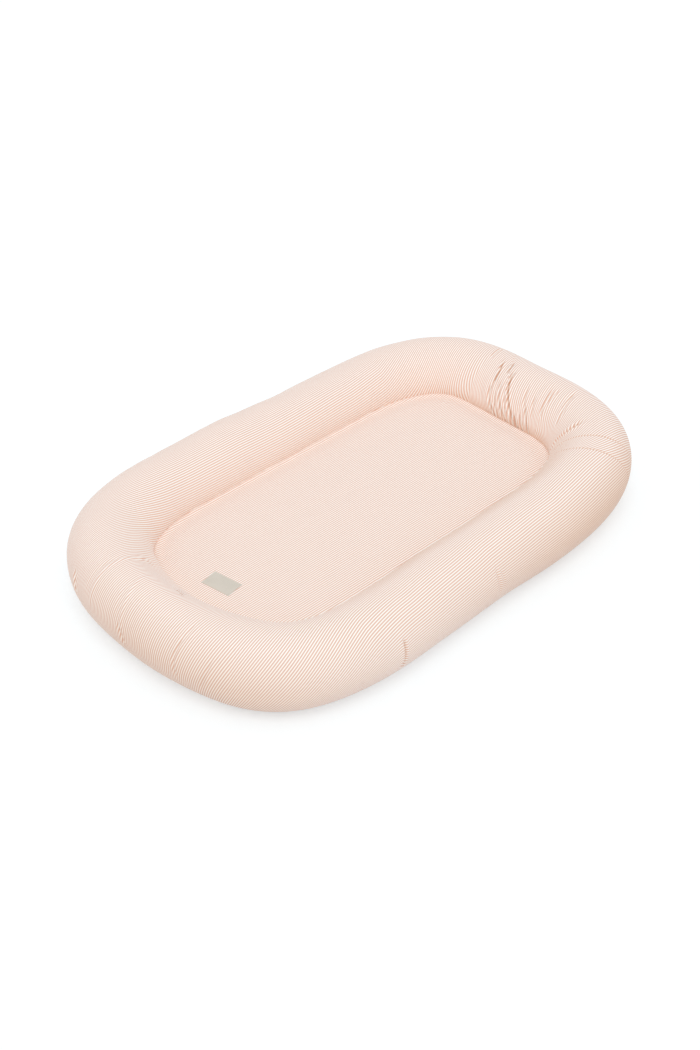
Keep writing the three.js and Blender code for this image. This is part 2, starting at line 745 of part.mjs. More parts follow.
function sliderSolid() {
  const plate = shapeFrom(sliderOutline(flangeWall));
  const room = shapeFrom(sliderOutline(0));
  const low = sliderLow;
  const high = sliderTop;
  const body = plateSolid(plate, low, high);
  const channel = plateSolid(room, zipHeight - channelHalfHeight, zipHeight + channelHalfHeight);
  const mouth = sliderLength;
  const tapeRoom = tapeThickness / 2 + sliderGap;
  const tapeSlot = boxSolid(
    new THREE.Vector3(-mouth, -mouth, zipHeight - tapeRoom),
    new THREE.Vector3(mouth, mouth, zipHeight + tapeRoom));
  const front = sliderLength / 2;
  const dividerOutline = shapeFrom([
    [front - dividerLength, 0], [front - dividerLength / 3, -dividerHalfWidth],
    [front, -dividerHalfWidth / 2], [front, dividerHalfWidth / 2],
    [front - dividerLength / 3, dividerHalfWidth],
  ]);
  const dividerReach = channelHalfHeight + plateThickness / 2;
  const divider = plateSolid(dividerOutline, zipHeight - dividerReach, zipHeight + dividerReach);
  return body.subtract(channel).subtract(tapeSlot).add(divider).add(bridgeSolid());
}

// The bridge under the slider that the pull hangs on.
function bridgeSolid() {
  const low = sliderLow - bridgeRoom - bridgeBar;
  const outer = bridgeHalfLength;
  const inner = outer - bridgeLeg;
  const roof = sliderLow - bridgeRoom;
  const profile = shapeFrom([
    [-outer, sliderLow + plateThickness / 2], [-outer, roof], [-inner, low], [inner, low], [outer, roof],
    [outer, sliderLow + plateThickness / 2], [inner, sliderLow + plateThickness / 2], [inner, roof],
    [-inner, roof], [-inner, sliderLow + plateThickness / 2],
  ]);
  const bar = new THREE.ExtrudeGeometry(profile, { depth: bridgeWidth, bevelEnabled: false });
  bar.rotateX(Math.PI / 2).translate(0, bridgeWidth / 2, 0);
  return toSolid(bar);
}

const sliderPlace = chainEnd + seamGap;
const pivotHeight = sliderLow - bridgeRoom + pinRadius + sliderGap;

// The pull lies along -X from its pin, with a window round the bridge and an oval grip hole.
function pullSolid() {
  const tip = -pullLength;
  const half = pullWidth / 2;
  const shape = new THREE.Shape();
  const head = pinRadius + clothClearance;
  shape.moveTo(head, -half);
  shape.lineTo(head, half);
  shape.lineTo(tip + half, half);
  shape.absarc(tip + half, 0, half, Math.PI / 2, 1.5 * Math.PI);
  shape.closePath();
  const windowEnd = -bridgeHalfLength - 2 * clothClearance;
  const windowHalf = bridgeWidth / 2 + clothClearance;
  const hole = new THREE.Path();
  hole.moveTo(-pinRadius, -windowHalf);
  hole.lineTo(windowEnd, -windowHalf);
  hole.lineTo(windowEnd, windowHalf);
  hole.lineTo(-pinRadius, windowHalf);
  hole.closePath();
  const grip = new THREE.Path();
  grip.absarc(tip + half, 0, pullHole / 2, Math.PI / 2, 1.5 * Math.PI);
  grip.absarc(tip / 2, 0, pullHole / 2, -Math.PI / 2, Math.PI / 2);
  grip.closePath();
  shape.holes.push(hole, grip);
  const plate = plateSolid(shape, -pullThickness / 2, pullThickness / 2);
  const roomLow = new THREE.Vector3(-pinRadius, -windowHalf, -pullThickness);
  const roomHigh = new THREE.Vector3(head + overrun, windowHalf, pullThickness);
  const pin = new THREE.CylinderGeometry(pinRadius, pinRadius, 2 * (windowHalf + pinSeat), pinSides);
  return plate.subtract(boxSolid(roomLow, roomHigh)).add(toSolid(pin));
}

function addSliderAndPull() {
  const slider = addPiece('zip_slider', toGeometry(sliderSolid()), toothPlastic);
  slider.position.set(sliderPlace, zipY, 0);
  const pull = addPiece('zip_pull', toGeometry(pullSolid()), toothPlastic);
  pull.rotation.y = -THREE.MathUtils.degToRad(pullTilt);
  pull.position.set(sliderPlace, zipY, pivotHeight);
}

addSleeves();
addRoll();
addSleepPanel();
addPad();
addBasePanels();
addLabel();
addStringers();
addStops();
addGuard();
addSliderAndPull();

export default group;
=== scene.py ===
import math
from contextlib import contextmanager

import bmesh
import bpy
import numpy as np
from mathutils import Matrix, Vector
from mathutils.bvhtree import BVHTree


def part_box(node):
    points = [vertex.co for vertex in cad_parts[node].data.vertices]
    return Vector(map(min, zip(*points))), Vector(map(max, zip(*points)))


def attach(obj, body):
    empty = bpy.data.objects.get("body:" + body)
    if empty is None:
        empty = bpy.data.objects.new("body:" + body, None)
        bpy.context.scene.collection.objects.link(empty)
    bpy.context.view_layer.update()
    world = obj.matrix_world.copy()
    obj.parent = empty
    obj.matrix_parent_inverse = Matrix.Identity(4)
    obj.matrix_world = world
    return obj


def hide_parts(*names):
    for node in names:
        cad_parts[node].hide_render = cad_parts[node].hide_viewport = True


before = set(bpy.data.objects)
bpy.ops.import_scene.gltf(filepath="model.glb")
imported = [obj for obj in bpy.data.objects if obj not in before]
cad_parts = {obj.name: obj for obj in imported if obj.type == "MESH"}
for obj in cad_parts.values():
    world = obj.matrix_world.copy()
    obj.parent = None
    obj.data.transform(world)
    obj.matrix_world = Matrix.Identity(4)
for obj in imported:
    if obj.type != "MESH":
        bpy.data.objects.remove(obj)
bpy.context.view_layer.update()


# Roll filling. A long sausage of carded polyester that makes the ring stand up. It is blown into
# its lining bag until firm, so it is round all along and flat only where it lies on the floor.
# Both ends are rounded and meet under the gathers.

RING_HALF_LENGTH = 0.385
RING_HALF_WIDTH = 0.235
HEAD_RIGHT_EXPONENT = 2.9
FOOT_RIGHT_EXPONENT = 4.5
FOOT_LEFT_EXPONENT = 3.9
HEAD_LEFT_EXPONENT = 3.3
SIDE_DIP = 0.010
HEAD_DIP = 0.0116
FOOT_SWELL = 0.0162
DIP_REACH_SHARE = 0.8
OUTLINE_STEPS = 1440
HEADING_REACH = 0.006

TUBE_HALF_WIDTH = 0.061
TUBE_HALF_HEIGHT = 0.058
TUBE_MIDDLE = 0.0555
PLANTED_REACH = 0.12

GATHER_PLACE = -0.0335
UPPER_SEAM_PLACE = 0.214
LOWER_SEAM_PLACE = 0.246
LEAN_REACH = 0.085
GATHER_LEAN = -0.0385
GATHER_RISE = -0.0045
UPPER_SEAM_LEAN = -0.011
LOWER_SEAM_LEAN = -0.016
LOWER_SEAM_RISE = 0.006

SLACKS = (
    # middle turn and reach in degrees, then (place round the ring, depth) in millimetres
    # the inner shoulder at the foot
    (137, 52, (925, 0), (960, 1.5), (1000, 5), (1040, 9.5), (1077, 11.5), (1115, 11.5),
     (1155, 8.5), (1205, 2.5), (1250, 0)),
    # the outer shoulder along the left side
    (62, 76, (1255, 0), (1293, 2.5), (1332, 3), (1372, 2.4), (1434, 4), (1476, 3), (1522, 0.5),
     (1564, 0.3), (1598, 2.6), (1642, 3.6), (1679, 6), (1721, 6.8), (1760, 8), (1802, 8),
     (1842, 6.6), (1883, 5), (1917, 4.2), (1951, 1.8), (1978, 1), (2015, 0)),
)

SLEEVE_WALL = 0.0012
FOLD_ROOM = 0.0062
CLOTH_GAP = 0.0003
BAG_WALL = 0.0008
ROLL_END_GAP = 0.006
ROLL_END_DEPTH = 0.024
ROLL_END_ROWS = 7
FILLING_END_GAP = 0.0016
FILLING_POINTS = 48
FILLING_STEP = 0.012
LUMP_HEIGHT = 0.0009
SMALL_LUMPS = 95  # radians to a metre, as all waves along a piece are
LARGE_LUMPS = 41


def bump(share):
    """A smooth hump: 1 in its middle and gone where the share reaches 1."""
    return np.maximum(0, 1 - np.square(share)) ** 2


def ring_outline():
    """Points of the ring's middle line, clockwise from the head, and the distance of each."""
    turn = math.pi / 2 - np.linspace(0, 2 * math.pi, OUTLINE_STEPS, endpoint=False)
    across, along = np.cos(turn), np.sin(turn)
    right = np.where(along >= 0, HEAD_RIGHT_EXPONENT, FOOT_RIGHT_EXPONENT)
    left = np.where(along >= 0, HEAD_LEFT_EXPONENT, FOOT_LEFT_EXPONENT)
    power = 2 / np.where(across >= 0, right, left)
    across = np.sign(across) * np.abs(across) ** power
    along = np.sign(along) * np.abs(along) ** power
    half_width = RING_HALF_WIDTH - SIDE_DIP * bump(along / DIP_REACH_SHARE)
    end_change = np.where(along >= 0, -HEAD_DIP, FOOT_SWELL) * bump(across / DIP_REACH_SHARE)
    points = np.stack([across * half_width, along * (RING_HALF_LENGTH + end_change)], axis=1)
    points -= (points.max(axis=0) + points.min(axis=0)) / 2
    points = np.vstack([points, points[:1]])
    steps = np.linalg.norm(np.diff(points, axis=0), axis=1)
    return points, np.concatenate([[0], np.cumsum(steps)])


ring_points, ring_distances = ring_outline()
ring_length = float(ring_distances[-1])
ring_end = ring_length + GATHER_PLACE


def around_ring(difference):
    """A difference of two places on the ring, the shorter way round."""
    return np.mod(difference + ring_length / 2, ring_length) - ring_length / 2


def ring_place(distance):
    wrapped = np.mod(distance, ring_length)
    axes = [np.interp(wrapped, ring_distances, column) for column in ring_points.T]
    return np.stack(axes, axis=-1)


def ring_outward(distance):
    heading = ring_place(distance + HEADING_REACH) - ring_place(distance - HEADING_REACH)
    heading /= np.linalg.norm(heading, axis=-1, keepdims=True)
    return np.stack([-heading[..., 1], heading[..., 0]], axis=-1)


def seam_lean(distance):
    """How far the section runs ahead on its outside, and on its top, near the seams."""
    away = around_ring(distance)
    places = [
        GATHER_PLACE - LEAN_REACH, GATHER_PLACE, GATHER_PLACE + LEAN_REACH,
        UPPER_SEAM_PLACE - LEAN_REACH, UPPER_SEAM_PLACE,
        LOWER_SEAM_PLACE, LOWER_SEAM_PLACE + LEAN_REACH,
    ]
    lean = np.interp(away, places, [0, GATHER_LEAN, 0, 0, UPPER_SEAM_LEAN, LOWER_SEAM_LEAN, 0])
    rise = np.interp(away, places, [0, GATHER_RISE, 0, 0, 0, LOWER_SEAM_RISE, 0])
    return lean, rise


def slack(distance, turn):
    """How far the tube has sunk where its filling is thin."""
    sunk = 0
    for middle, reach, *line in SLACKS:
        places, depths = np.array(line).T / 1000
        depth = np.interp(np.mod(distance, ring_length), places, depths)
        sunk = sunk + depth * bump((turn - math.radians(middle)) / math.radians(reach))
    return sunk


def section_turns(points):
    """Turns round the tube's section, from its outer edge on the floor over the top."""
    low = -math.asin(TUBE_MIDDLE / TUBE_HALF_HEIGHT)
    return np.linspace(low, math.pi - low, points)


def ring_surface(distances, turns, inset, floor, sink=0.0, scale=1.0):
    """Rows of points on the tube, `inset` in from the outer cloth and `sink` deeper still."""
    distance = np.asarray(distances)[:, None]
    turn = np.asarray(turns)[None, :]
    lean, rise = seam_lean(distance)
    leaned = distance + lean * np.cos(turn) + rise * np.sin(turn)
    place, outward = ring_place(leaned), ring_outward(leaned)
    half_height = TUBE_HALF_HEIGHT - inset
    middle = floor + half_height * TUBE_MIDDLE / TUBE_HALF_HEIGHT
    size = np.broadcast_to(np.asarray(scale, float).reshape(-1, 1), (len(distances), 1))
    sink = sink + slack(leaned, turn)
    out = size * (TUBE_HALF_WIDTH - inset - sink) * np.cos(turn)
    # What lies on the floor stays there, however far the tube has sunk.
    off_floor = np.clip((np.sin(turn) + TUBE_MIDDLE / TUBE_HALF_HEIGHT) / PLANTED_REACH, 0, 1)
    up = middle + (half_height - sink * off_floor) * np.sin(turn)
    height = floor + (np.maximum(floor, up) - floor) * size
    plan = place + outward * out[..., None]
    return np.concatenate([plan, height[..., None]], axis=2)


def add_object(name, data):
    thing = bpy.data.objects.new(name, data)
    bpy.context.scene.collection.objects.link(thing)
    return thing


def add_grid(name, points, cut, wrapped=True):
    """A sheet of quads through rows of points, with the flat cut of the cloth as its UV map."""
    rows, columns = points.shape[:2]
    strips = columns if wrapped else columns - 1
    row, column = np.meshgrid(np.arange(rows - 1), np.arange(strips), indexing="ij")
    corner_row = np.stack([row, row, row + 1, row + 1], axis=-1)
    corner_column = np.stack([column, column + 1, column + 1, column], axis=-1)
    faces = (corner_row * columns + corner_column % columns).reshape(-1, 4)
    mesh = bpy.data.meshes.new(name)
    mesh.from_pydata(points.reshape(-1, 3).tolist(), [], faces.tolist())
    flat = cut[corner_row, corner_column].reshape(-1, 2)
    mesh.uv_layers.new(name="cut").data.foreach_set("uv", flat.ravel())
    mesh.shade_smooth()
    return add_object(name, mesh)


@contextmanager
def reshaping(piece):
    """Opens a piece's mesh for a change and puts the changed mesh back."""
    shape = bmesh.new()
    shape.from_mesh(piece.data)
    yield shape
    shape.to_mesh(piece.data)
    shape.free()


def close_poles(piece):
    """Merges the points of a row that has shrunk to one place."""
    with reshaping(piece) as shape:
        bmesh.ops.remove_doubles(shape, verts=shape.verts, dist=1e-6)
        bmesh.ops.dissolve_degenerate(shape, edges=shape.edges, dist=1e-7)


def linear(colour):
    """An sRGB hex value as the linear colour that a shader takes."""
    shares = [int(colour[k:k + 2], 16) / 255 for k in (1, 3, 5)]
    return [s / 12.92 if s <= 0.04045 else ((s + 0.055) / 1.055) ** 2.4 for s in shares] + [1]


def add_node(tree, kind, links=None, values=None, **settings):
    """Adds a node with its settings, the values of its inputs and what is linked into them."""
    node = tree.nodes.new(kind)
    for name, value in settings.items():
        setattr(node, name, value)
    for socket, value in (values or {}).items():
        node.inputs[socket].default_value = value
    for socket, source in (links or {}).items():
        tree.links.new(source, node.inputs[socket])
    return node


# A Mix node has its colour sockets by these numbers, because its sockets share their names.
MIX_FIRST = 6
MIX_SECOND = 7
MIX_RESULT = 2


def new_material(name, roughness, **shader_values):
    """A material with an empty tree but for its shader and output. Returns both."""
    material = bpy.data.materials.new(name)
    material.use_nodes = True
    tree = material.node_tree
    tree.nodes.clear()
    shader = add_node(
        tree, "ShaderNodeBsdfPrincipled", values={"Roughness": roughness, **shader_values})
    add_node(tree, "ShaderNodeOutputMaterial", links={"Surface": shader.outputs["BSDF"]})
    return material, tree, shader


def finish_surface(tree, shader, colour, height, strength, depth):
    """Gives a surface its colour, and its relief from the height of its pattern."""
    relief = add_node(
        tree, "ShaderNodeBump", links={"Height": height},
        values={"Strength": strength, "Distance": depth})
    tree.links.new(colour, shader.inputs["Base Color"])
    tree.links.new(relief.outputs["Normal"], shader.inputs["Normal"])


def finish_in_two_tones(tree, shader, dark, light, height, strength, depth, tone=None):
    """Finishes a surface that goes from dark to light with its height, or with its own tone."""
    colour = add_node(
        tree, "ShaderNodeMix", data_type="RGBA", links={"Factor": tone or height},
        values={MIX_FIRST: linear(dark), MIX_SECOND: linear(light)})
    finish_surface(tree, shader, colour.outputs[MIX_RESULT], height, strength, depth)


def grainy_material(name, roughness, pattern, grain, dark, light, strength, depth, **values):
    """A material that has one fine grain all through, such as fibres, cells or moulding marks."""
    material, tree, shader = new_material(name, roughness)
    place = add_node(tree, "ShaderNodeTexCoord")
    grains = add_node(
        tree, pattern, links={"Vector": place.outputs["Object"]},
        values={"Scale": 1 / grain, **values})
    finish_in_two_tones(tree, shader, dark, light, grains.outputs[0], strength, depth)
    return material


# Polyester wadding, carded and blown: a matt white mass of crossed fibres with soft lumps.
WADDING_WHITE = "#F4F1EA"
WADDING_SHADE = "#E2DDD2"
WADDING_FIBRE = 0.0012
polyester_wadding = grainy_material(
    "carded_polyester_wadding", 0.95, "ShaderNodeTexNoise", WADDING_FIBRE, WADDING_SHADE,
    WADDING_WHITE, strength=0.6, depth=WADDING_FIBRE, Detail=6, Roughness=0.7, Distortion=1.5)


def roll_rows(inset, floor, trim, points, step):
    """Rows of the roll from end to end, drawn in to a point at both ends."""
    start = GATHER_PLACE + ROLL_END_GAP / 2 + trim
    finish = ring_end - ROLL_END_GAP / 2 - trim
    quarter = np.linspace(0, math.pi / 2, ROLL_END_ROWS)
    rounded = ROLL_END_DEPTH * (1 - np.cos(quarter))
    middle = np.arange(start + ROLL_END_DEPTH + step, finish - ROLL_END_DEPTH - step / 2, step)
    distances = np.concatenate([start + rounded, middle, finish - rounded[::-1]])
    scale = np.concatenate([np.sin(quarter), np.ones(len(middle)), np.sin(quarter)[::-1]])
    turns = section_turns(points)
    return distances, turns, ring_surface(distances, turns, inset, floor, scale=scale)


def tube_cut(distances, turns):
    """The flat cut of a tube: distance along it, and distance round it."""
    round_tube = np.concatenate([turns, [turns[0] + 2 * math.pi]]) * TUBE_HALF_WIDTH
    along = np.broadcast_to(np.asarray(distances)[:, None], (len(distances), len(round_tube)))
    around = np.broadcast_to(round_tube[None, :], along.shape)
    return np.stack([around, along], axis=2)


bag_inset = SLEEVE_WALL + FOLD_ROOM
bag_floor = SLEEVE_WALL + CLOTH_GAP
filling_inset = bag_inset + BAG_WALL + CLOTH_GAP
filling_floor = bag_floor + BAG_WALL + CLOTH_GAP

filling_distances, filling_turns, filling_rows = roll_rows(
    filling_inset, filling_floor, BAG_WALL + FILLING_END_GAP, FILLING_POINTS, FILLING_STEP)
lumps = np.sin(filling_distances * SMALL_LUMPS)[:, None] * np.sin(filling_turns * 3 + 1)
lumps += np.sin(filling_distances * LARGE_LUMPS + 2)[:, None] * np.cos(filling_turns * 2)
inward = filling_rows.mean(axis=1, keepdims=True) - filling_rows
inward /= np.maximum(np.linalg.norm(inward, axis=2, keepdims=True), 1e-6)
filling_rows += inward * (LUMP_HEIGHT * (1 + 0.5 * lumps))[..., None]
filling_rows[..., 2] = np.maximum(filling_rows[..., 2], filling_floor)
filling_cut = tube_cut(filling_distances, filling_turns)
roll_filling = add_grid("polyester_roll_filling", filling_rows, filling_cut)
close_poles(roll_filling)
roll_filling.data.materials.append(polyester_wadding)
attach(roll_filling, "cover")
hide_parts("roll_filling")


# Lining bag of the roll. A plain white cotton bag, sewn as a long tube and turned inside out
# through its mouth. The mouth is drawn in at the end that meets the main sleeve, and the bag
# keeps the loose fibres away from the striped sleeve.

LINING_WHITE = "#F5EFE8"
LINING_SHADE = "#E6DED4"
LINING_THREAD = 0.0006
BAG_POINTS = 56
BAG_STEP = 0.010
BAG_RUFFLES = 14
RUFFLE_DEPTH = 0.0012
RUFFLED_ROWS = 6
BANDS_SCALE = math.pi / 10  # of a Wave texture with one band to a metre


def plain_weave(tree, vector, thread):
    """Height of a plain weave: threads of one width, over and under each other."""
    across = add_node(
        tree, "ShaderNodeTexWave", links={"Vector": vector}, bands_direction="X",
        values={"Scale": BANDS_SCALE / thread, "Distortion": 0.3, "Detail": 1})
    along = add_node(
        tree, "ShaderNodeTexWave", links={"Vector": vector}, bands_direction="Y",
        values={"Scale": BANDS_SCALE / thread, "Distortion": 0.3, "Detail": 1})
    return add_node(
        tree, "ShaderNodeMath", operation="MULTIPLY",
        links={0: across.outputs["Fac"], 1: along.outputs["Fac"]})


# White cotton lining, plain woven and unbleached-soft: matt, with a fine even thread. The real
# thread is about 0.3 mm; it is drawn twice as coarse so that it shows.
def lining_material():
    material, tree, shader = new_material("white_cotton_lining", 0.92, **{"Sheen Weight": 0.1})
    place = add_node(tree, "ShaderNodeUVMap", uv_map="cut")
    weave = plain_weave(tree, place.outputs["UV"], LINING_THREAD)
    finish_in_two_tones(
        tree, shader, LINING_SHADE, LINING_WHITE, weave.outputs["Value"],
        strength=0.3, depth=LINING_THREAD / 4)
    return material


def face_out(piece):
    """Turns the faces of a closed body outward."""
    with reshaping(piece) as shape:
        bmesh.ops.recalc_face_normals(shape, faces=shape.faces)


def add_wall(piece, thickness):
    """Gives a sheet its thickness, inward from the face that shows, and crisp cut edges."""
    with reshaping(piece) as shape:
        for edge in shape.edges:
            edge.smooth = not edge.is_boundary
    wall = piece.modifiers.new("cloth thickness", "SOLIDIFY")
    wall.thickness = thickness
    wall.offset = -1
    wall.use_rim = True


lining_cotton = lining_material()
bag_distances, bag_turns, bag_rows = roll_rows(bag_inset, bag_floor, 0, BAG_POINTS, BAG_STEP)
bag_distances, bag_rows = bag_distances[:-2], bag_rows[:-2]
mouth_rows = bag_rows[-RUFFLED_ROWS:]
spokes = mouth_rows - mouth_rows.mean(axis=1, keepdims=True)
spokes /= np.linalg.norm(spokes, axis=2, keepdims=True)
ruffles = RUFFLE_DEPTH * np.cos(BAG_RUFFLES * bag_turns)[:, None]
mouth_rows += spokes * (ruffles * np.linspace(0, 1, RUFFLED_ROWS)[:, None, None])
roll_bag = add_grid("roll_lining_bag", bag_rows, tube_cut(bag_distances, bag_turns))
close_poles(roll_bag)
face_out(roll_bag)
add_wall(roll_bag, BAG_WALL)
roll_bag.data.materials.append(lining_cotton)
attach(roll_bag, "cover")
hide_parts("roll_case")


# Pad core. A flat slab of foam cut to the shape of the pocket, with its edges rounded over. It
# lies loose in its case and has a shallow dent where it rests on the zip.

POCKET_STATIONS = 260
PAD_MIDDLE_ROWS = 22
PAD_LOW_CURVE = 6
PAD_TOP_CURVE = 5
BASE_TOP = 0.0085
SLEEP_HEIGHT = 0.050
SLEEP_EDGE_HEIGHT = 0.046
PANEL_WALL = 0.0012
ROLLED_EDGE_RISE = 0.0032
EDGE_SLOPE_WIDTH = 0.026
PAD_SIDE_GAP = 0.001
PAD_ROUNDING = 0.009
PAD_CASE_WALL = 0.0008
FOAM_CREAM = "#F1EBDC"
FOAM_SHADE = "#DCD3BF"
FOAM_CELL = 0.0009

guard_low, guard_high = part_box("zip_guard")
pocket_stations = np.linspace(ring_end, GATHER_PLACE, POCKET_STATIONS, endpoint=False)


def pocket_ring(inset):
    """Plan of the pocket's outline, `inset` inside the middle line of the tube, anticlockwise."""
    return ring_place(pocket_stations) - ring_outward(pocket_stations) * inset


def pocket_rows(profile):
    """Rows of a body in the pocket, from (inset, height, share of the way out from the middle)."""
    rows = []
    for inset, height, share in profile:
        plan = pocket_ring(inset) * share
        rows.append(np.column_stack([plan, np.full(len(plan), height)]))
    return np.array(rows)


def plan_cut(points):
    """The flat cut of a sheet that lies flat: its own plan."""
    plan = points[..., :2]
    return np.concatenate([plan, plan[:, :1]], axis=1)


def pad_profile(inset):
    """Rows of the pad from its middle below, round its edge, to its middle on top."""
    side = TUBE_HALF_WIDTH + PAD_SIDE_GAP + inset
    low = BASE_TOP + CLOTH_GAP + inset
    top = SLEEP_HEIGHT - PANEL_WALL - CLOTH_GAP - inset
    side_top = SLEEP_EDGE_HEIGHT - PANEL_WALL - ROLLED_EDGE_RISE - inset
    shares = np.linspace(0, 1, PAD_MIDDLE_ROWS)
    profile = [(side + PAD_ROUNDING, low, share) for share in shares[:-1]]
    for turn in np.linspace(0, math.pi / 2, PAD_LOW_CURVE):
        across, up = 1 - math.sin(turn), 1 - math.cos(turn)
        profile.append((side + PAD_ROUNDING * across, low + PAD_ROUNDING * up, 1))
    half_round = PAD_ROUNDING / 2
    for turn in np.linspace(0, math.pi / 2, PAD_TOP_CURVE):
        across, up = 1 - math.cos(turn), math.sin(turn) - 1
        profile.append((side + half_round * across, side_top + half_round * up, 1))
    profile.append((side + EDGE_SLOPE_WIDTH / 2, (side_top + top) / 2, 1))
    profile += [(side + EDGE_SLOPE_WIDTH, top, share) for share in shares[::-1]]
    return profile


def dent_over_zip(rows, inset):
    """Lifts the underside clear of the zip and its guard."""
    reach = CLOTH_GAP + inset
    over_zip = (rows[..., 0] > guard_low.x - reach) & (rows[..., 0] < guard_high.x + reach)
    over_zip &= (rows[..., 1] > guard_low.y - reach) & (rows[..., 1] < guard_high.y + reach)
    lifted = np.maximum(rows[..., 2], guard_high.z + reach)
    rows[..., 2] = np.where(over_zip & (rows[..., 2] < guard_high.z), lifted, rows[..., 2])
    return rows


# Cut polyurethane foam: a cream block with small open cells that show as fine pits.
polyurethane_foam = grainy_material(
    "cut_polyurethane_foam", 0.96, "ShaderNodeTexVoronoi", FOAM_CELL, FOAM_SHADE, FOAM_CREAM,
    strength=0.5, depth=FOAM_CELL / 2, Randomness=1)

core_inset = PAD_CASE_WALL + CLOTH_GAP
core_rows = dent_over_zip(pocket_rows(pad_profile(core_inset)), core_inset)
pad_core = add_grid("foam_pad_core", core_rows, plan_cut(core_rows))
close_poles(pad_core)
face_out(pad_core)
pad_core.data.materials.append(polyurethane_foam)
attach(pad_core, "cover")
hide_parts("pad_core")


# Pad case. A thin white cotton cover that keeps the foam clean, sewn from two panels and left
# open at the head end like a pillow case, so that the foam can be drawn out and the case washed.

PAD_MOUTH_HALF_WIDTH = 0.120
PAD_MOUTH_LOW = BASE_TOP + PAD_ROUNDING
PAD_MOUTH_HEIGHT = 0.014

case_rows = dent_over_zip(pocket_rows(pad_profile(0)), 0)
pad_case = add_grid("cotton_pad_case", case_rows, plan_cut(case_rows))
close_poles(pad_case)
face_out(pad_case)
with reshaping(pad_case) as shape:
    mouth_faces = []
    for face in shape.faces:
        middle = face.calc_center_median()
        in_height = PAD_MOUTH_LOW < middle.z < PAD_MOUTH_LOW + PAD_MOUTH_HEIGHT
        in_width = middle.y > 0 and abs(middle.x) < PAD_MOUTH_HALF_WIDTH
        if in_height and in_width and face.normal.y > 0.5:
            mouth_faces.append(face)
    bmesh.ops.delete(shape, geom=mouth_faces, context="FACES")
add_wall(pad_case, PAD_CASE_WALL)
pad_case.data.materials.append(lining_cotton)
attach(pad_case, "cover")
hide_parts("pad_case")


# Base panels. Two pieces of the striped cotton that close the pocket underneath. They are sewn
# to the inner side of the bumper all round and meet at the zip, where their edges are folded
# under and topstitched to the tape.

BASE_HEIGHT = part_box("base_panel_head")[0].z
BASE_WALL = 0.0009
BASE_INSET = 0.0328
BASE_COLUMNS = 120
BASE_ROWS = 46
PANEL_GAP = 0.00015
SLOT_HALF_WIDTH = 0.0086
SLOT_END_ROOM = 0.0017
SIDE_SHARE = 0.3
CORNER_SHARE = 1e-4
BASE_RIPPLE = 0.00022
RIPPLES_ACROSS = 61
RIPPLES_ALONG = 23
RIPPLE_SWAY = 1.3

STRIPE_PITCH = 0.00358
STRIPE_PEACH = "#E6C1AF"
STRIPE_WHITE = "#FFFAF5"
PEACH_SHARE = 0.5
# Colours of the painted glow and the painted shade of the striped cotton.
PAINTED_GLOW_COLOUR = "#A0614B"
PAINTED_SHADE_TINT = "#E7D0BA"
COTTON_THREAD = 0.0006
SLUB_LENGTH = 0.03


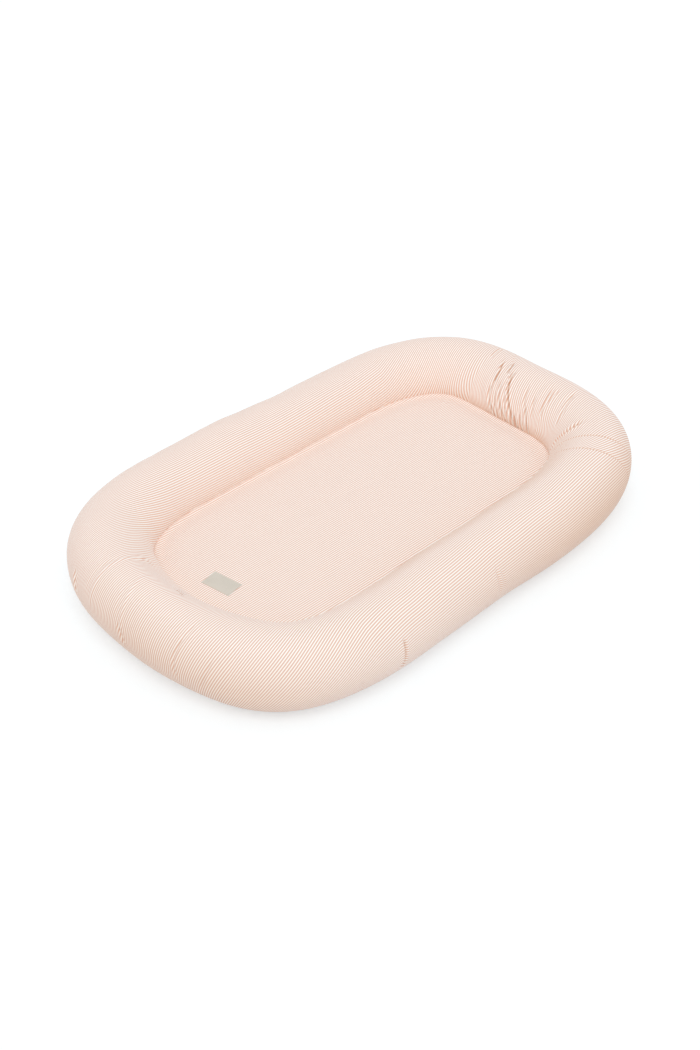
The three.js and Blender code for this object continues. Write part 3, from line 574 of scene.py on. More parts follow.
# Yarn-dyed cotton poplin, plain woven with peach and white stripes of equal width, soft and
# matt with a slight fuzz. A stripe's edge is one yarn wide, the yarns vary a little in colour,
# and the weave shows as a fine grain. The real thread is 0.25 mm and is drawn coarser. Painted
# light is added to its colour: a painted glow where it faces other cloth, for light bounced
# between them, and painted shade in creases, at seams and where less light falls.
def striped_cotton_material():
    material, tree, shader = new_material(
        "striped_cotton_poplin", 0.88,
        **{"Sheen Weight": 0.25, "Sheen Roughness": 0.4, "Specular IOR Level": 0.3})
    place = add_node(tree, "ShaderNodeUVMap", uv_map="cut")
    stripes = add_node(
        tree, "ShaderNodeTexWave", links={"Vector": place.outputs["UV"]}, bands_direction="X",
        values={"Scale": BANDS_SCALE / STRIPE_PITCH})
    edge = add_node(
        tree, "ShaderNodeMapRange", interpolation_type="SMOOTHSTEP",
        links={"Value": stripes.outputs["Fac"]},
        values={"From Min": PEACH_SHARE - 0.3, "From Max": PEACH_SHARE + 0.3})
    stretched = add_node(
        tree, "ShaderNodeMapping", links={"Vector": place.outputs["UV"]},
        values={"Scale": (1 / COTTON_THREAD, 1 / SLUB_LENGTH, 1)})
    slubs = add_node(
        tree, "ShaderNodeTexNoise", links={"Vector": stretched.outputs["Vector"]},
        values={"Scale": 1, "Detail": 2})
    slub_edge = add_node(
        tree, "ShaderNodeMapRange", links={"Value": slubs.outputs["Fac"]},
        values={"From Min": 0.3, "From Max": 0.7, "To Min": 0.96, "To Max": 1.0})
    weave = plain_weave(tree, place.outputs["UV"], COTTON_THREAD)
    colour = add_node(
        tree, "ShaderNodeMix", data_type="RGBA", links={"Factor": edge.outputs["Result"]},
        values={MIX_FIRST: linear(STRIPE_PEACH), MIX_SECOND: linear(STRIPE_WHITE)})
    toned = add_node(
        tree, "ShaderNodeVectorMath", operation="SCALE",
        links={0: colour.outputs[MIX_RESULT], "Scale": slub_edge.outputs["Result"]})
    # Painted glow: the screen blend lightens and warms the colour where the cloth faces other
    # cloth, for light bounced between them.
    painted_glow = add_node(tree, "ShaderNodeAttribute", attribute_name="painted_glow")
    warm = add_node(
        tree, "ShaderNodeMix", data_type="RGBA", blend_type="SCREEN",
        links={"Factor": painted_glow.outputs["Fac"], MIX_FIRST: toned.outputs["Vector"]},
        values={MIX_SECOND: linear(PAINTED_GLOW_COLOUR)})
    # Painted shade: the multiply darkens the colour in creases, at seams, where the sleeve meets
    # the panel and where less light falls.
    painted_shade = add_node(tree, "ShaderNodeAttribute", attribute_name="painted_shade")
    painted_shading = add_node(
        tree, "ShaderNodeMix", data_type="RGBA", blend_type="MULTIPLY",
        links={"Factor": painted_shade.outputs["Fac"], MIX_FIRST: warm.outputs[MIX_RESULT]},
        values={MIX_SECOND: linear(PAINTED_SHADE_TINT)})
    finish_surface(
        tree, shader, painted_shading.outputs[MIX_RESULT], weave.outputs["Value"],
        strength=0.25, depth=COTTON_THREAD / 4)
    return material


def set_painted_light(piece, painted_glow, painted_shade):
    """Gives the striped cotton its painted glow, for light bounced where it faces other cloth, and
    its painted shade: from 0 to 1.
    """
    for name, values in (("painted_glow", painted_glow), ("painted_shade", painted_shade)):
        piece.data.attributes.new(name, "FLOAT", "POINT").data.foreach_set("value", values.ravel())


striped_cotton = striped_cotton_material()
slider_low, slider_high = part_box("zip_slider")
zip_y = (slider_low.y + slider_high.y) / 2
slot_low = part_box("zip_bottom_stop")[0].x - SLOT_END_ROOM
slot_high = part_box("zip_top_stop_head")[1].x + SLOT_END_ROOM


def base_rows(side):
    """Points of a base panel. `side` is 1 for the head part and -1 for the foot part."""
    outline = pocket_ring(BASE_INSET)
    outline = np.vstack([outline, outline[:1]])
    # The rim on this side of the zip, in order round the zip's middle.
    part = outline[side * (outline[:, 1] - zip_y) > 0]
    start = int(np.argmax(side * part[:, 0] - 0.02 * np.abs(part[:, 1] - zip_y)))
    part = np.roll(part, -start, axis=0)
    part = part[np.argsort(np.unwrap(np.arctan2(side * (part[:, 1] - zip_y), part[:, 0])))]
    steps = np.concatenate([[0], np.cumsum(np.linalg.norm(np.diff(part, axis=0), axis=1))])
    share = np.linspace(0, 1, BASE_COLUMNS)
    rim = np.stack([np.interp(share, steps / steps[-1], part[:, k]) for k in (0, 1)], axis=1)
    side_end = SIDE_SHARE + CORNER_SHARE
    knots = [0, SIDE_SHARE, side_end, 1 - side_end, 1 - SIDE_SHARE, 1]
    across = [rim[0, 0], slot_high, slot_high, slot_low, slot_low, rim[-1, 0]]
    edge_x = np.interp(share, knots, across)
    in_slot = (share > SIDE_SHARE) & (share < 1 - SIDE_SHARE)
    edge_y = zip_y + side * np.where(in_slot, SLOT_HALF_WIDTH, PANEL_GAP)
    rim[[0, -1], 1] = edge_y[[0, -1]]
    depth = np.linspace(0, 1, BASE_ROWS)[:, None]
    x = edge_x * (1 - depth) + rim[:, 0] * depth
    y = edge_y * (1 - depth) + rim[:, 1] * depth
    sway = RIPPLE_SWAY * np.sin(y * RIPPLES_ALONG)
    ripple = BASE_RIPPLE * np.sin(x * RIPPLES_ACROSS + sway) * np.sin(math.pi * depth)
    return np.stack([x, y, BASE_HEIGHT + BASE_RIPPLE + ripple], axis=2)


def face_sheet(piece, up):
    """Turns the faces of a flat sheet to look up (1) or down (-1)."""
    with reshaping(piece) as shape:
        if up * sum(face.normal.z for face in shape.faces) < 0:
            bmesh.ops.reverse_faces(shape, faces=shape.faces)


def add_base_panel(name, node, side):
    rows = base_rows(side)
    piece = add_grid(name, rows, rows[..., :2], wrapped=False)
    close_poles(piece)
    face_sheet(piece, -1)
    add_wall(piece, BASE_WALL - 2 * BASE_RIPPLE)
    piece.data.materials.append(striped_cotton)
    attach(piece, "cover")
    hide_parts(node)


add_base_panel("base_panel_head_part", "base_panel_head", 1)
add_base_panel("base_panel_foot_part", "base_panel_foot", -1)


# Topstitching. Polyester thread sewn by machine through the folded edges of the base along the
# zip, and round the base where it is sewn to the bumper. Each stitch is a short length of thread
# that dips at both ends.

STITCH_PITCH = 0.0034
STITCH_LENGTH = 0.0027
THREAD_WIDTH = 0.0005
THREAD_WHITE = "#F7EEE6"
THREAD_SHADE = "#DCCFC4"
TOPSTITCH_EDGE = 0.0022
RIM_STITCH_EDGE = 0.006
STITCH_RINGS = 6
STITCH_SEGMENTS = 6
LONG_SEAM_POINTS = 60
SHORT_SEAM_POINTS = 8


# Spun polyester sewing thread: off-white, twisted, with a faint sheen along the twist.
def thread_material():
    material, tree, shader = new_material("spun_polyester_thread", 0.6, **{"Sheen Weight": 0.2})
    place = add_node(tree, "ShaderNodeTexCoord")
    turned = add_node(
        tree, "ShaderNodeMapping", links={"Vector": place.outputs["Object"]},
        values={"Rotation": (0, 0, math.radians(35))})
    twist = add_node(
        tree, "ShaderNodeTexWave", links={"Vector": turned.outputs["Vector"]}, bands_direction="X",
        values={"Scale": BANDS_SCALE / THREAD_WIDTH})
    finish_in_two_tones(
        tree, shader, THREAD_SHADE, THREAD_WHITE, twist.outputs["Fac"],
        strength=0.4, depth=THREAD_WIDTH / 5)
    return material


def stitching_tree():
    """Geometry nodes that lay a stitch at every pitch along the edges they are given."""
    tree = bpy.data.node_groups.new("machine stitches", "GeometryNodeTree")
    face = tree.interface
    face.new_socket("Seam", in_out="INPUT", socket_type="NodeSocketGeometry")
    for name in ("Stitch pitch", "Stitch length", "Thread width"):
        face.new_socket(name, in_out="INPUT", socket_type="NodeSocketFloat")
    face.new_socket("Thread", in_out="INPUT", socket_type="NodeSocketMaterial")
    face.new_socket("Stitches", in_out="OUTPUT", socket_type="NodeSocketGeometry")
    given = add_node(tree, "NodeGroupInput").outputs
    seam = add_node(tree, "GeometryNodeMeshToCurve", links={"Mesh": given["Seam"]})
    places = add_node(
        tree, "GeometryNodeResampleCurve", mode="LENGTH",
        links={"Curve": seam.outputs["Curve"], "Length": given["Stitch pitch"]})
    tangent = add_node(tree, "GeometryNodeInputTangent")
    heading = add_node(
        tree, "FunctionNodeAlignRotationToVector", axis="X",
        links={"Vector": tangent.outputs["Tangent"]})
    thread = add_node(
        tree, "GeometryNodeMeshUVSphere",
        values={"Segments": STITCH_SEGMENTS, "Rings": STITCH_RINGS, "Radius": 0.5})
    smooth = add_node(
        tree, "GeometryNodeSetShadeSmooth", links={"Geometry": thread.outputs["Mesh"]})
    size = add_node(
        tree, "ShaderNodeCombineXYZ",
        links={
            "X": given["Stitch length"], "Y": given["Thread width"], "Z": given["Thread width"],
        })
    stitches = add_node(
        tree, "GeometryNodeInstanceOnPoints",
        links={
            "Points": places.outputs["Curve"], "Instance": smooth.outputs["Geometry"],
            "Rotation": heading.outputs["Rotation"], "Scale": size.outputs["Vector"],
        })
    real = add_node(
        tree, "GeometryNodeRealizeInstances", links={"Geometry": stitches.outputs["Instances"]})
    dressed = add_node(
        tree, "GeometryNodeSetMaterial",
        links={"Geometry": real.outputs["Geometry"], "Material": given["Thread"]})
    add_node(tree, "NodeGroupOutput", links={"Stitches": dressed.outputs["Geometry"]})
    return tree


thread = thread_material()
stitches_along = stitching_tree()


def sew(name, seams, pitch=STITCH_PITCH, length=STITCH_LENGTH, width=THREAD_WIDTH):
    """Lays stitches along seams, each a row of points, and bakes them to one plain mesh."""
    points, edges = [], []
    for seam in seams:
        first = len(points)
        points += [tuple(p) for p in seam]
        edges += [(first + k, first + k + 1) for k in range(len(seam) - 1)]
    guide_mesh = bpy.data.meshes.new(name + "_guide")
    guide_mesh.from_pydata(points, edges, [])
    guide = add_object(name + "_guide", guide_mesh)
    nodes = guide.modifiers.new("stitches", "NODES")
    nodes.node_group = stitches_along
    sizes = {
        "Stitch pitch": pitch, "Stitch length": length, "Thread width": width, "Thread": thread}
    for socket in stitches_along.interface.items_tree:
        if socket.name in sizes:
            nodes[socket.identifier] = sizes[socket.name]
    baked = bpy.data.meshes.new_from_object(
        guide.evaluated_get(bpy.context.evaluated_depsgraph_get()))
    baked.name = name
    piece = add_object(name, baked)
    bpy.data.objects.remove(guide)
    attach(piece, "cover")


under_base = BASE_HEIGHT - THREAD_WIDTH / 4
seam_reach = SLOT_HALF_WIDTH + TOPSTITCH_EDGE
seam_low, seam_high = slot_low - TOPSTITCH_EDGE, slot_high + TOPSTITCH_EDGE
zip_seams = []
for side in (1, -1):
    seam_x = np.linspace(seam_low, seam_high, LONG_SEAM_POINTS)
    zip_seams.append([(x, zip_y + side * seam_reach, under_base) for x in seam_x])
for end in (seam_low, seam_high):
    seam_y = np.linspace(-1, 1, SHORT_SEAM_POINTS) * seam_reach + zip_y
    zip_seams.append([(end, y, under_base) for y in seam_y])
sew("zip_topstitching", zip_seams)
rim_plan = pocket_ring(BASE_INSET + RIM_STITCH_EDGE)
rim_plan = np.vstack([rim_plan, rim_plan[:1]])
sew("base_rim_stitching", [[(x, y, under_base) for x, y in rim_plan]])


# Zip. A moulded plastic zip with woven tapes, sewn into the slot of the base. The teeth are
# moulded on the tape's beaded edge, and the slider, its pull and the stops are moulded too.

TEETH_REACH = 0.0034
ZIP_WHITE = "#EFE9E0"
ZIP_SHADE = "#E2DACE"
TAPE_WHITE = "#EDE6DC"
TAPE_SHADE = "#D5CBBE"
TAPE_RIB = 0.0009
TAPE_ROUGHNESS = 0.9
MOULD_GRAIN = 0.0004
MOULDED_ROUGHNESS = 0.42


# Moulded acetal: off-white, smooth and slightly glossy, with the faint texture of its mould.
moulded_acetal = grainy_material(
    "moulded_acetal", MOULDED_ROUGHNESS, "ShaderNodeTexNoise", MOULD_GRAIN, ZIP_SHADE, ZIP_WHITE,
    strength=0.15, depth=MOULD_GRAIN / 4, Detail=3)


# Woven polyester tape with moulded teeth along its edge: the tape is ribbed across and matt, and
# the teeth, which are all that lies within a few millimetres of the zip's line, are smooth.
def stringer_material():
    material, tree, shader = new_material("woven_zip_tape_with_moulded_teeth", 0.5)
    place = add_node(tree, "ShaderNodeTexCoord")
    parts = add_node(tree, "ShaderNodeSeparateXYZ", links={"Vector": place.outputs["Object"]})
    from_line = add_node(
        tree, "ShaderNodeMath", operation="SUBTRACT", links={0: parts.outputs["Y"]},
        values={1: zip_y})
    off_line = add_node(
        tree, "ShaderNodeMath", operation="ABSOLUTE", links={0: from_line.outputs["Value"]})
    on_tape = add_node(
        tree, "ShaderNodeMath", operation="GREATER_THAN", links={0: off_line.outputs["Value"]},
        values={1: TEETH_REACH})
    ribs = plain_weave(tree, place.outputs["Object"], TAPE_RIB)
    tape = add_node(
        tree, "ShaderNodeMix", data_type="RGBA", links={"Factor": ribs.outputs["Value"]},
        values={MIX_FIRST: linear(TAPE_SHADE), MIX_SECOND: linear(TAPE_WHITE)})
    colour = add_node(
        tree, "ShaderNodeMix", data_type="RGBA",
        links={"Factor": on_tape.outputs["Value"], MIX_SECOND: tape.outputs[MIX_RESULT]},
        values={MIX_FIRST: linear(ZIP_WHITE)})
    ribbed = add_node(
        tree, "ShaderNodeMath", operation="MULTIPLY",
        links={0: ribs.outputs["Value"], 1: on_tape.outputs["Value"]})
    matt = add_node(
        tree, "ShaderNodeMapRange", links={"Value": on_tape.outputs["Value"]},
        values={"To Min": MOULDED_ROUGHNESS, "To Max": TAPE_ROUGHNESS})
    tree.links.new(matt.outputs["Result"], shader.inputs["Roughness"])
    finish_surface(
        tree, shader, colour.outputs[MIX_RESULT], ribbed.outputs["Value"],
        strength=0.5, depth=TAPE_RIB / 5)
    return material


woven_stringer = stringer_material()
zip_finishes = {
    "zip_stringer_head": woven_stringer, "zip_stringer_foot": woven_stringer,
    "zip_top_stop_head": moulded_acetal, "zip_top_stop_foot": moulded_acetal,
    "zip_bottom_stop": moulded_acetal, "zip_slider": moulded_acetal, "zip_pull": moulded_acetal,
}
for node, finish in zip_finishes.items():
    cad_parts[node].data.materials.clear()
    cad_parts[node].data.materials.append(finish)


# Zip guard. A strip of lining cotton laid over the teeth on their inner side and sewn down with
# one tape only, so that the teeth never rub on the pad's case.

GUARD_WALL = 0.0008
GUARD_STEPS = 70
GUARD_EDGE_ROOM = 0.0002
GUARD_RIDGE = 0.006
GUARD_BEND = (0.0126, 0.0144)
GUARD_BEND_DROP = 0.0014
GUARD_WAVE_HEIGHT = 0.00015
GUARD_WAVES = 210

guard_top = guard_high.z - GUARD_EDGE_ROOM
guard_across = np.array([
    (guard_low.y + GUARD_EDGE_ROOM, guard_top),
    (zip_y - GUARD_RIDGE, guard_top),
    (zip_y, guard_high.z),
    (zip_y + GUARD_RIDGE, guard_top),
    (zip_y + GUARD_BEND[0], guard_top),
    (zip_y + GUARD_BEND[1], guard_high.z - GUARD_BEND_DROP),
    (guard_high.y, guard_low.z + GUARD_WALL),
])
guard_x = np.linspace(guard_low.x, guard_high.x, GUARD_STEPS)
guard_wave = GUARD_WAVE_HEIGHT * (1 + np.sin(guard_x * GUARD_WAVES))
guard_rows = np.zeros((GUARD_STEPS, len(guard_across), 3))
guard_rows[..., 0] = guard_x[:, None]
guard_rows[..., 1] = guard_across[:, 0]
guard_rows[..., 2] = guard_across[:, 1] - guard_wave[:, None]
guard = add_grid("zip_guard_strip", guard_rows, guard_rows[..., :2], wrapped=False)
add_wall(guard, GUARD_WALL)
guard.data.materials.append(lining_cotton)
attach(guard, "cover")
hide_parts("zip_guard")


# Sleep panel. The striped sheet to lie on. It is sewn to the bumper all round with a rolled
# edge, and the pad under it fills it to a slight crown with a few long soft creases.

CROWN = 0.0022
CROWN_POWER = 0.8
EDGE_RIPPLE = 0.0003
EDGE_RIPPLES = 190
EDGE_RIPPLE_DRIFT = 37
PANEL_MIDDLE_ROWS = 34
PANEL_EDGE = (
    # inset from the middle of the ring, height, and the strength of its painted glow, for light
    # bounced off the bumper
    (0.0590, 0.0481, 1), (0.0604, 0.0486, 1), (0.0618, 0.0490, 0.9), (0.0636, 0.0492, 0.6),
    (0.0660, 0.0487, 0.5), (0.0686, 0.0480, 0.4), (0.0712, 0.0478, 0.3), (0.0750, 0.0481, 0.15),
    (0.0800, 0.0489, 0), (0.0870, 0.0499, 0),
)
FULLNESS_PLACES = (-0.829, -0.559, -0.290, -0.020, 0.248, 0.517, 0.787, 1.056)
FULLNESS = (0.0010, -0.0017, -0.0017, 0.0017, 0.0024, -0.0007, -0.0017, 0.0007)
PANEL_CREASES = (
    # middle x, middle y, heading in degrees, half length, half width, depth
    (0.060, 0.120, 96, 0.110, 0.010, 0.0006),
    (-0.040, -0.060, 84, 0.150, 0.012, 0.0007),
    (0.095, -0.150, 100, 0.100, 0.010, 0.0005),
    (-0.100, 0.140, 80, 0.100, 0.012, 0.0006),
    (0.010, 0.235, 60, 0.050, 0.008, 0.0005),
)


def fullness(distance):
    """How much fuller than usual the tube is, going round the ring."""
    places = np.array(FULLNESS_PLACES)
    return np.interp(
        np.mod(distance - places[0], ring_length), np.append(places - places[0], ring_length),
        np.append(FULLNESS, FULLNESS[0]))


def painted_shade_at_base(place):
    """Strength of the painted shade where the sleeve meets the sleep panel: most below the gathers
    and their fan.
    """
    return np.interp(
        around_ring(place), (-0.42, -0.22, -0.15, -0.07, 0.10, 0.15, 0.22, 0.40),
        (0.08, 0.12, 0.2, 0.42, 0.52, 0.34, 0.2, 0.08))


def panel_relief(x, y):
    """Height of the long soft creases of a sheet lying on the pad."""
    relief = np.zeros_like(x)
    for middle_x, middle_y, heading, half_length, half_width, depth in PANEL_CREASES:
        turn = math.radians(heading)
        along = (x - middle_x) * math.cos(turn) + (y - middle_y) * math.sin(turn)
        across = (y - middle_y) * math.cos(turn) - (x - middle_x) * math.sin(turn)
        wave = depth * bump(along / half_length) * np.cos(across / half_width)
        relief -= wave * np.exp(-np.square(across / half_width) / 2)
    return relief


drift = 2 * np.sin(pocket_stations * EDGE_RIPPLE_DRIFT)
edge_ripple = EDGE_RIPPLE * np.sin(pocket_stations * EDGE_RIPPLES + drift)
panel_rows = []
for inset, height, _ in PANEL_EDGE:
    plan = pocket_ring(inset + fullness(pocket_stations)[:, None])
    panel_rows.append(np.column_stack([plan, height + edge_ripple]))
flat_inset, flat_height, _ = PANEL_EDGE[-1]
flat_plan = pocket_ring(flat_inset)
for share in np.linspace(1, 0, PANEL_MIDDLE_ROWS + 1)[1:]:
    height = flat_height + CROWN * (1 - share ** 2) ** CROWN_POWER
    panel_rows.append(np.column_stack([flat_plan * share, np.full(len(flat_plan), height)]))
panel_rows = np.array(panel_rows)
panel_rows[..., 2] += panel_relief(panel_rows[..., 0], panel_rows[..., 1])
# Painted glow along the panel's edge, for light bounced off the bumper.
panel_painted_glow = np.zeros(panel_rows.shape[:2])
panel_painted_glow[:len(PANEL_EDGE)] = np.array(PANEL_EDGE)[:, 2:]
# Painted shade along the panel's edge, where it meets the bumper.
panel_painted_shade = np.clip(panel_painted_glow * 4 - 3, 0, 1) * painted_shade_at_base(pocket_stations)
panel = add_grid("striped_sleep_panel", panel_rows, plan_cut(panel_rows))
set_painted_light(panel, panel_painted_glow, panel_painted_shade)
close_poles(panel)
face_sheet(panel, 1)
with reshaping(panel) as shape:
    panel_tree = BVHTree.FromBMesh(shape)
add_wall(panel, PANEL_WALL)
panel.data.materials.append(striped_cotton)
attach(panel, "cover")
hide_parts("sleep_panel")


# Label. A small woven tab with its two ends folded under, sewn down by its edges on the sleep
# panel near the foot. It is bare.

LABEL_LENGTH = 0.050
LABEL_WIDTH = 0.030
LABEL_WALL = 0.0006
LABEL_TURN = 8.2
LABEL_COLUMNS = 40
LABEL_ROWS = 24
LABEL_SOFT_EDGE = 0.0012
LABEL_WAVE_HEIGHT = 0.0001
LABEL_WAVES = 300
LABEL_LIGHT = "#D8D2C7"
LABEL_DARK = "#C4BEB2"
LABEL_THREAD = 0.00045
LABEL_STITCH_EDGE = 0.0018
LABEL_STITCH_PITCH = 0.0026
LABEL_STITCH_LENGTH = 0.0019
LABEL_THREAD_WIDTH = 0.0004
LABEL_SEAM_POINTS = 12
CORNERS = ((-1, -1), (1, -1), (1, 1), (-1, 1))


# Woven damask tape: greige, with a close fine thread, matt and a little stiff.
def label_material():
    material, tree, shader = new_material("woven_label_damask", 0.85, **{"Sheen Weight": 0.1})
    place = add_node(tree, "ShaderNodeUVMap", uv_map="cut")
    weave = plain_weave(tree, place.outputs["UV"], LABEL_THREAD)
    wear = add_node(
        tree, "ShaderNodeTexNoise", links={"Vector": place.outputs["UV"]},
        values={"Scale": 1 / LABEL_WIDTH, "Detail": 4})
    tone = add_node(
        tree, "ShaderNodeMath", operation="ADD",
        links={0: weave.outputs["Value"], 1: wear.outputs["Fac"]})
    finish_in_two_tones(
        tree, shader, LABEL_DARK, LABEL_LIGHT, weave.outputs["Value"],
        strength=0.35, depth=LABEL_THREAD / 3, tone=tone.outputs["Value"])
    return material


def panel_height(x, y):
    return panel_tree.ray_cast(Vector((x, y, 1)), Vector((0, 0, -1)))[0].z


label_low, label_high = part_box("label")
label_middle = (label_low + label_high) / 2
label_turn = math.radians(LABEL_TURN)


def on_label(along, across):
    """A place on the label, by its distances from the middle."""
    x = label_middle.x + along * math.cos(label_turn) - across * math.sin(label_turn)
    y = label_middle.y + along * math.sin(label_turn) + across * math.cos(label_turn)
    return x, y, panel_height(x, y)


label_rows = np.zeros((LABEL_ROWS, LABEL_COLUMNS, 3))
label_cut = np.zeros((LABEL_ROWS, LABEL_COLUMNS, 2))
for row, across in enumerate(np.linspace(-0.5, 0.5, LABEL_ROWS) * LABEL_WIDTH):
    for column, along in enumerate(np.linspace(-0.5, 0.5, LABEL_COLUMNS) * LABEL_LENGTH):
        to_edge = min(LABEL_WIDTH / 2 - abs(across), LABEL_LENGTH / 2 - abs(along))
        lift = LABEL_WALL * (1 + 0.5 * min(1, to_edge / LABEL_SOFT_EDGE))
        x, y, height = on_label(along, across)
        wave = LABEL_WAVE_HEIGHT * math.sin(along * LABEL_WAVES)
        label_rows[row, column] = (x, y, height + lift + wave)
        label_cut[row, column] = (along, across)
label = add_grid("bare_woven_label", label_rows, label_cut, wrapped=False)
add_wall(label, LABEL_WALL)
label.data.materials.append(label_material())
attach(label, "cover")
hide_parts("label")
half_length = LABEL_LENGTH / 2 - LABEL_STITCH_EDGE
half_width = LABEL_WIDTH / 2 - LABEL_STITCH_EDGE
label_seam = []
for (x0, y0), (x1, y1) in zip(CORNERS, CORNERS[1:] + CORNERS[:1]):
    for share in np.linspace(0, 1, LABEL_SEAM_POINTS, endpoint=False):
        along, across = x0 + (x1 - x0) * share, y0 + (y1 - y0) * share
        x, y, height = on_label(along * half_length, across * half_width)
        label_seam.append((x, y, height + 1.5 * LABEL_WALL + THREAD_WIDTH / 8))
label_seam.append(label_seam[0])
sew("label_stitching", [label_seam],
    LABEL_STITCH_PITCH, LABEL_STITCH_LENGTH, LABEL_THREAD_WIDTH)


# Bumper sleeves. The striped cotton tube round the roll, in three pieces: the main sleeve round
# the sides and the foot, the short head sleeve, and the gusset between the two corner seams. The
# stripes run straight across each flat piece, so they bend as the tube bends. The pieces are sewn
# face to face and turned out, so each seam lies in a small valley.

SLEEVE_POINTS = 104
SEAM_STEP = 0.0010
PLAIN_STEP = 0.0075
SEAM_ZONE = 0.006
SEAM_VALLEY = 0.0022
SEAM_SINK = 0.0009
DEGREE_LENGTH = math.radians(TUBE_HALF_WIDTH)
FOLD_ZONES = (
    # middle place round the ring, half width, and step of the rows there, in metres
    (-0.035, 0.050, 0.0011), (0.055, 0.045, 0.0012), (0.110, 0.020, 0.0014),
    (0.205, 0.026, 0.0014), (0.255, 0.012, 0.0016), (0.537, 0.008, 0.0014),
    (0.733, 0.009, 0.0011), (0.796, 0.006, 0.0014), (0.950, 0.010, 0.0014),
    (0.989, 0.009, 0.0013), (1.052, 0.010, 0.0016), (1.077, 0.008, 0.0016),
    (-1.061, 0.014, 0.0016), (-1.002, 0.012, 0.0015), (-0.963, 0.010, 0.0014),
)
SLEEVE_CREASES = (
    # half width and depth in millimetres, then (place in millimetres, turn in degrees) along it
    # where the main sleeve is gathered into the seam at the head
    (1.8, 1.6, (-82, 64), (-79, 80), (-76, 94), (-73, 102)),
    (1.7, 3.6, (-51, 94), (-46, 106), (-42, 114), (-39, 124), (-37, 138)),
    (1.7, 2.6, (-37, 136), (-37, 150), (-33, 162), (-28, 170), (-19, 180), (-15, 190)),
    (1.6, 1.8, (-25, 148), (-22, 164), (-15, 174), (-9, 188)),
    (1.7, 2.8, (-24, 126), (-21, 138), (-15, 154), (-9, 166), (-4, 172), (4, 188)),
    (1.8, 3.8, (-17, 102), (-15, 116), (-12, 124), (-7, 136), (-1, 146), (4, 154), (12, 166),
     (25, 188)),
    (1.5, 1.4, (-10, 142), (-6, 152), (1, 164), (10, 176), (19, 190)),
    (1.7, 2.6, (-31, 90), (-30, 102), (-28, 114)),
    (1.5, 2.0, (-1, 164), (3, 178), (8, 190)),
    (1.5, 1.8, (13, 162), (22, 172), (30, 184)),
    (6.0, -1.2, (-48, 128), (-46, 150), (-30, 176)),
    (4.0, -0.9, (-22, 116), (-22, 132), (-12, 160)),
    # the fan of small folds beside it, in the head sleeve
    (1.6, 2.2, (21, 166), (28, 182), (35, 192)),
    (1.6, 1.8, (27, 158), (36, 174), (45, 192)),
    (1.7, 2.6, (35, 146), (43, 158), (49, 170), (61, 188)),
    (2.2, 1.6, (22, 118), (28, 136), (36, 152)),
    (2.2, 1.4, (42, 126), (51, 144), (60, 160)),
    (1.8, 2.2, (62, 102), (66, 122), (69, 134), (76, 150)),
    (1.8, 1.7, (70, 98), (72, 118), (73, 130)),
    (2.4, 1.6, (92, 86), (105, 108), (111, 118), (122, 130)),
    (2.4, 1.4, (116, 116), (126, 134), (138, 144)),
    (3.4, 4.6, (172, 104), (182, 120), (189, 136), (190, 150), (199, 164), (222, 178)),
    (4.5, -1.0, (84, 70), (88, 100), (94, 130)),
    (4.0, -0.9, (50, 90), (50, 120), (58, 140)),
    # small folds round the foot and along the near side
    (2.2, -0.9, (-1006, 122), (-1000, 80), (-998, 60), (-1003, 40), (-1007, 6)),
    (2.6, 0.6, (-994, 80), (-991, 50), (-995, 20)),
    (2.4, 2.2, (-1000, 108), (-1003, 128), (-1014, 138)),
    (2.2, -0.7, (-1052, 98), (-1052, 82), (-1059, 58), (-1064, 42), (-1070, 20), (-1074, -2)),
    (2.4, 0.5, (-1045, 70), (-1052, 50), (-1058, 26)),
    (2.4, 3.4, (-958, 26), (-961, 18), (-972, -4)),
    (2.2, 3.0, (-1066, 18), (-1074, 4), (-1081, -10)),
    (1.9, 2.0, (991, 52), (992, 34), (994, 20), (992, 6), (988, -10)),
    (2.4, 1.0, (986, 72), (988, 54), (989, 40)),
    (2.0, 1.7, (946, 40), (949, 22), (952, 8), (957, -14)),
    (2.2, 2.6, (1064, 114), (1049, 110), (1042, 108)),
    (1.9, 3.0, (731, 28), (732, 4), (733, -8), (739, -22)),
    (2.4, 1.4, (796, -8), (796, -26)),
    (2.4, 1.8, (541, 36), (542, 20), (540, -6)),
    (2.4, 1.2, (534, 30), (533, 12), (531, -8)),
)
CREASE_END_SLOPE = 5
CREASE_END_SHARE = 0.15
RIDGE_SHARE = 0.35
RIDGE_PLACE = 1.9
FINE_STEP = 0.0005
STEP_GROWTH = 0.3
SWELL = 0.0007
SWELLS = 11

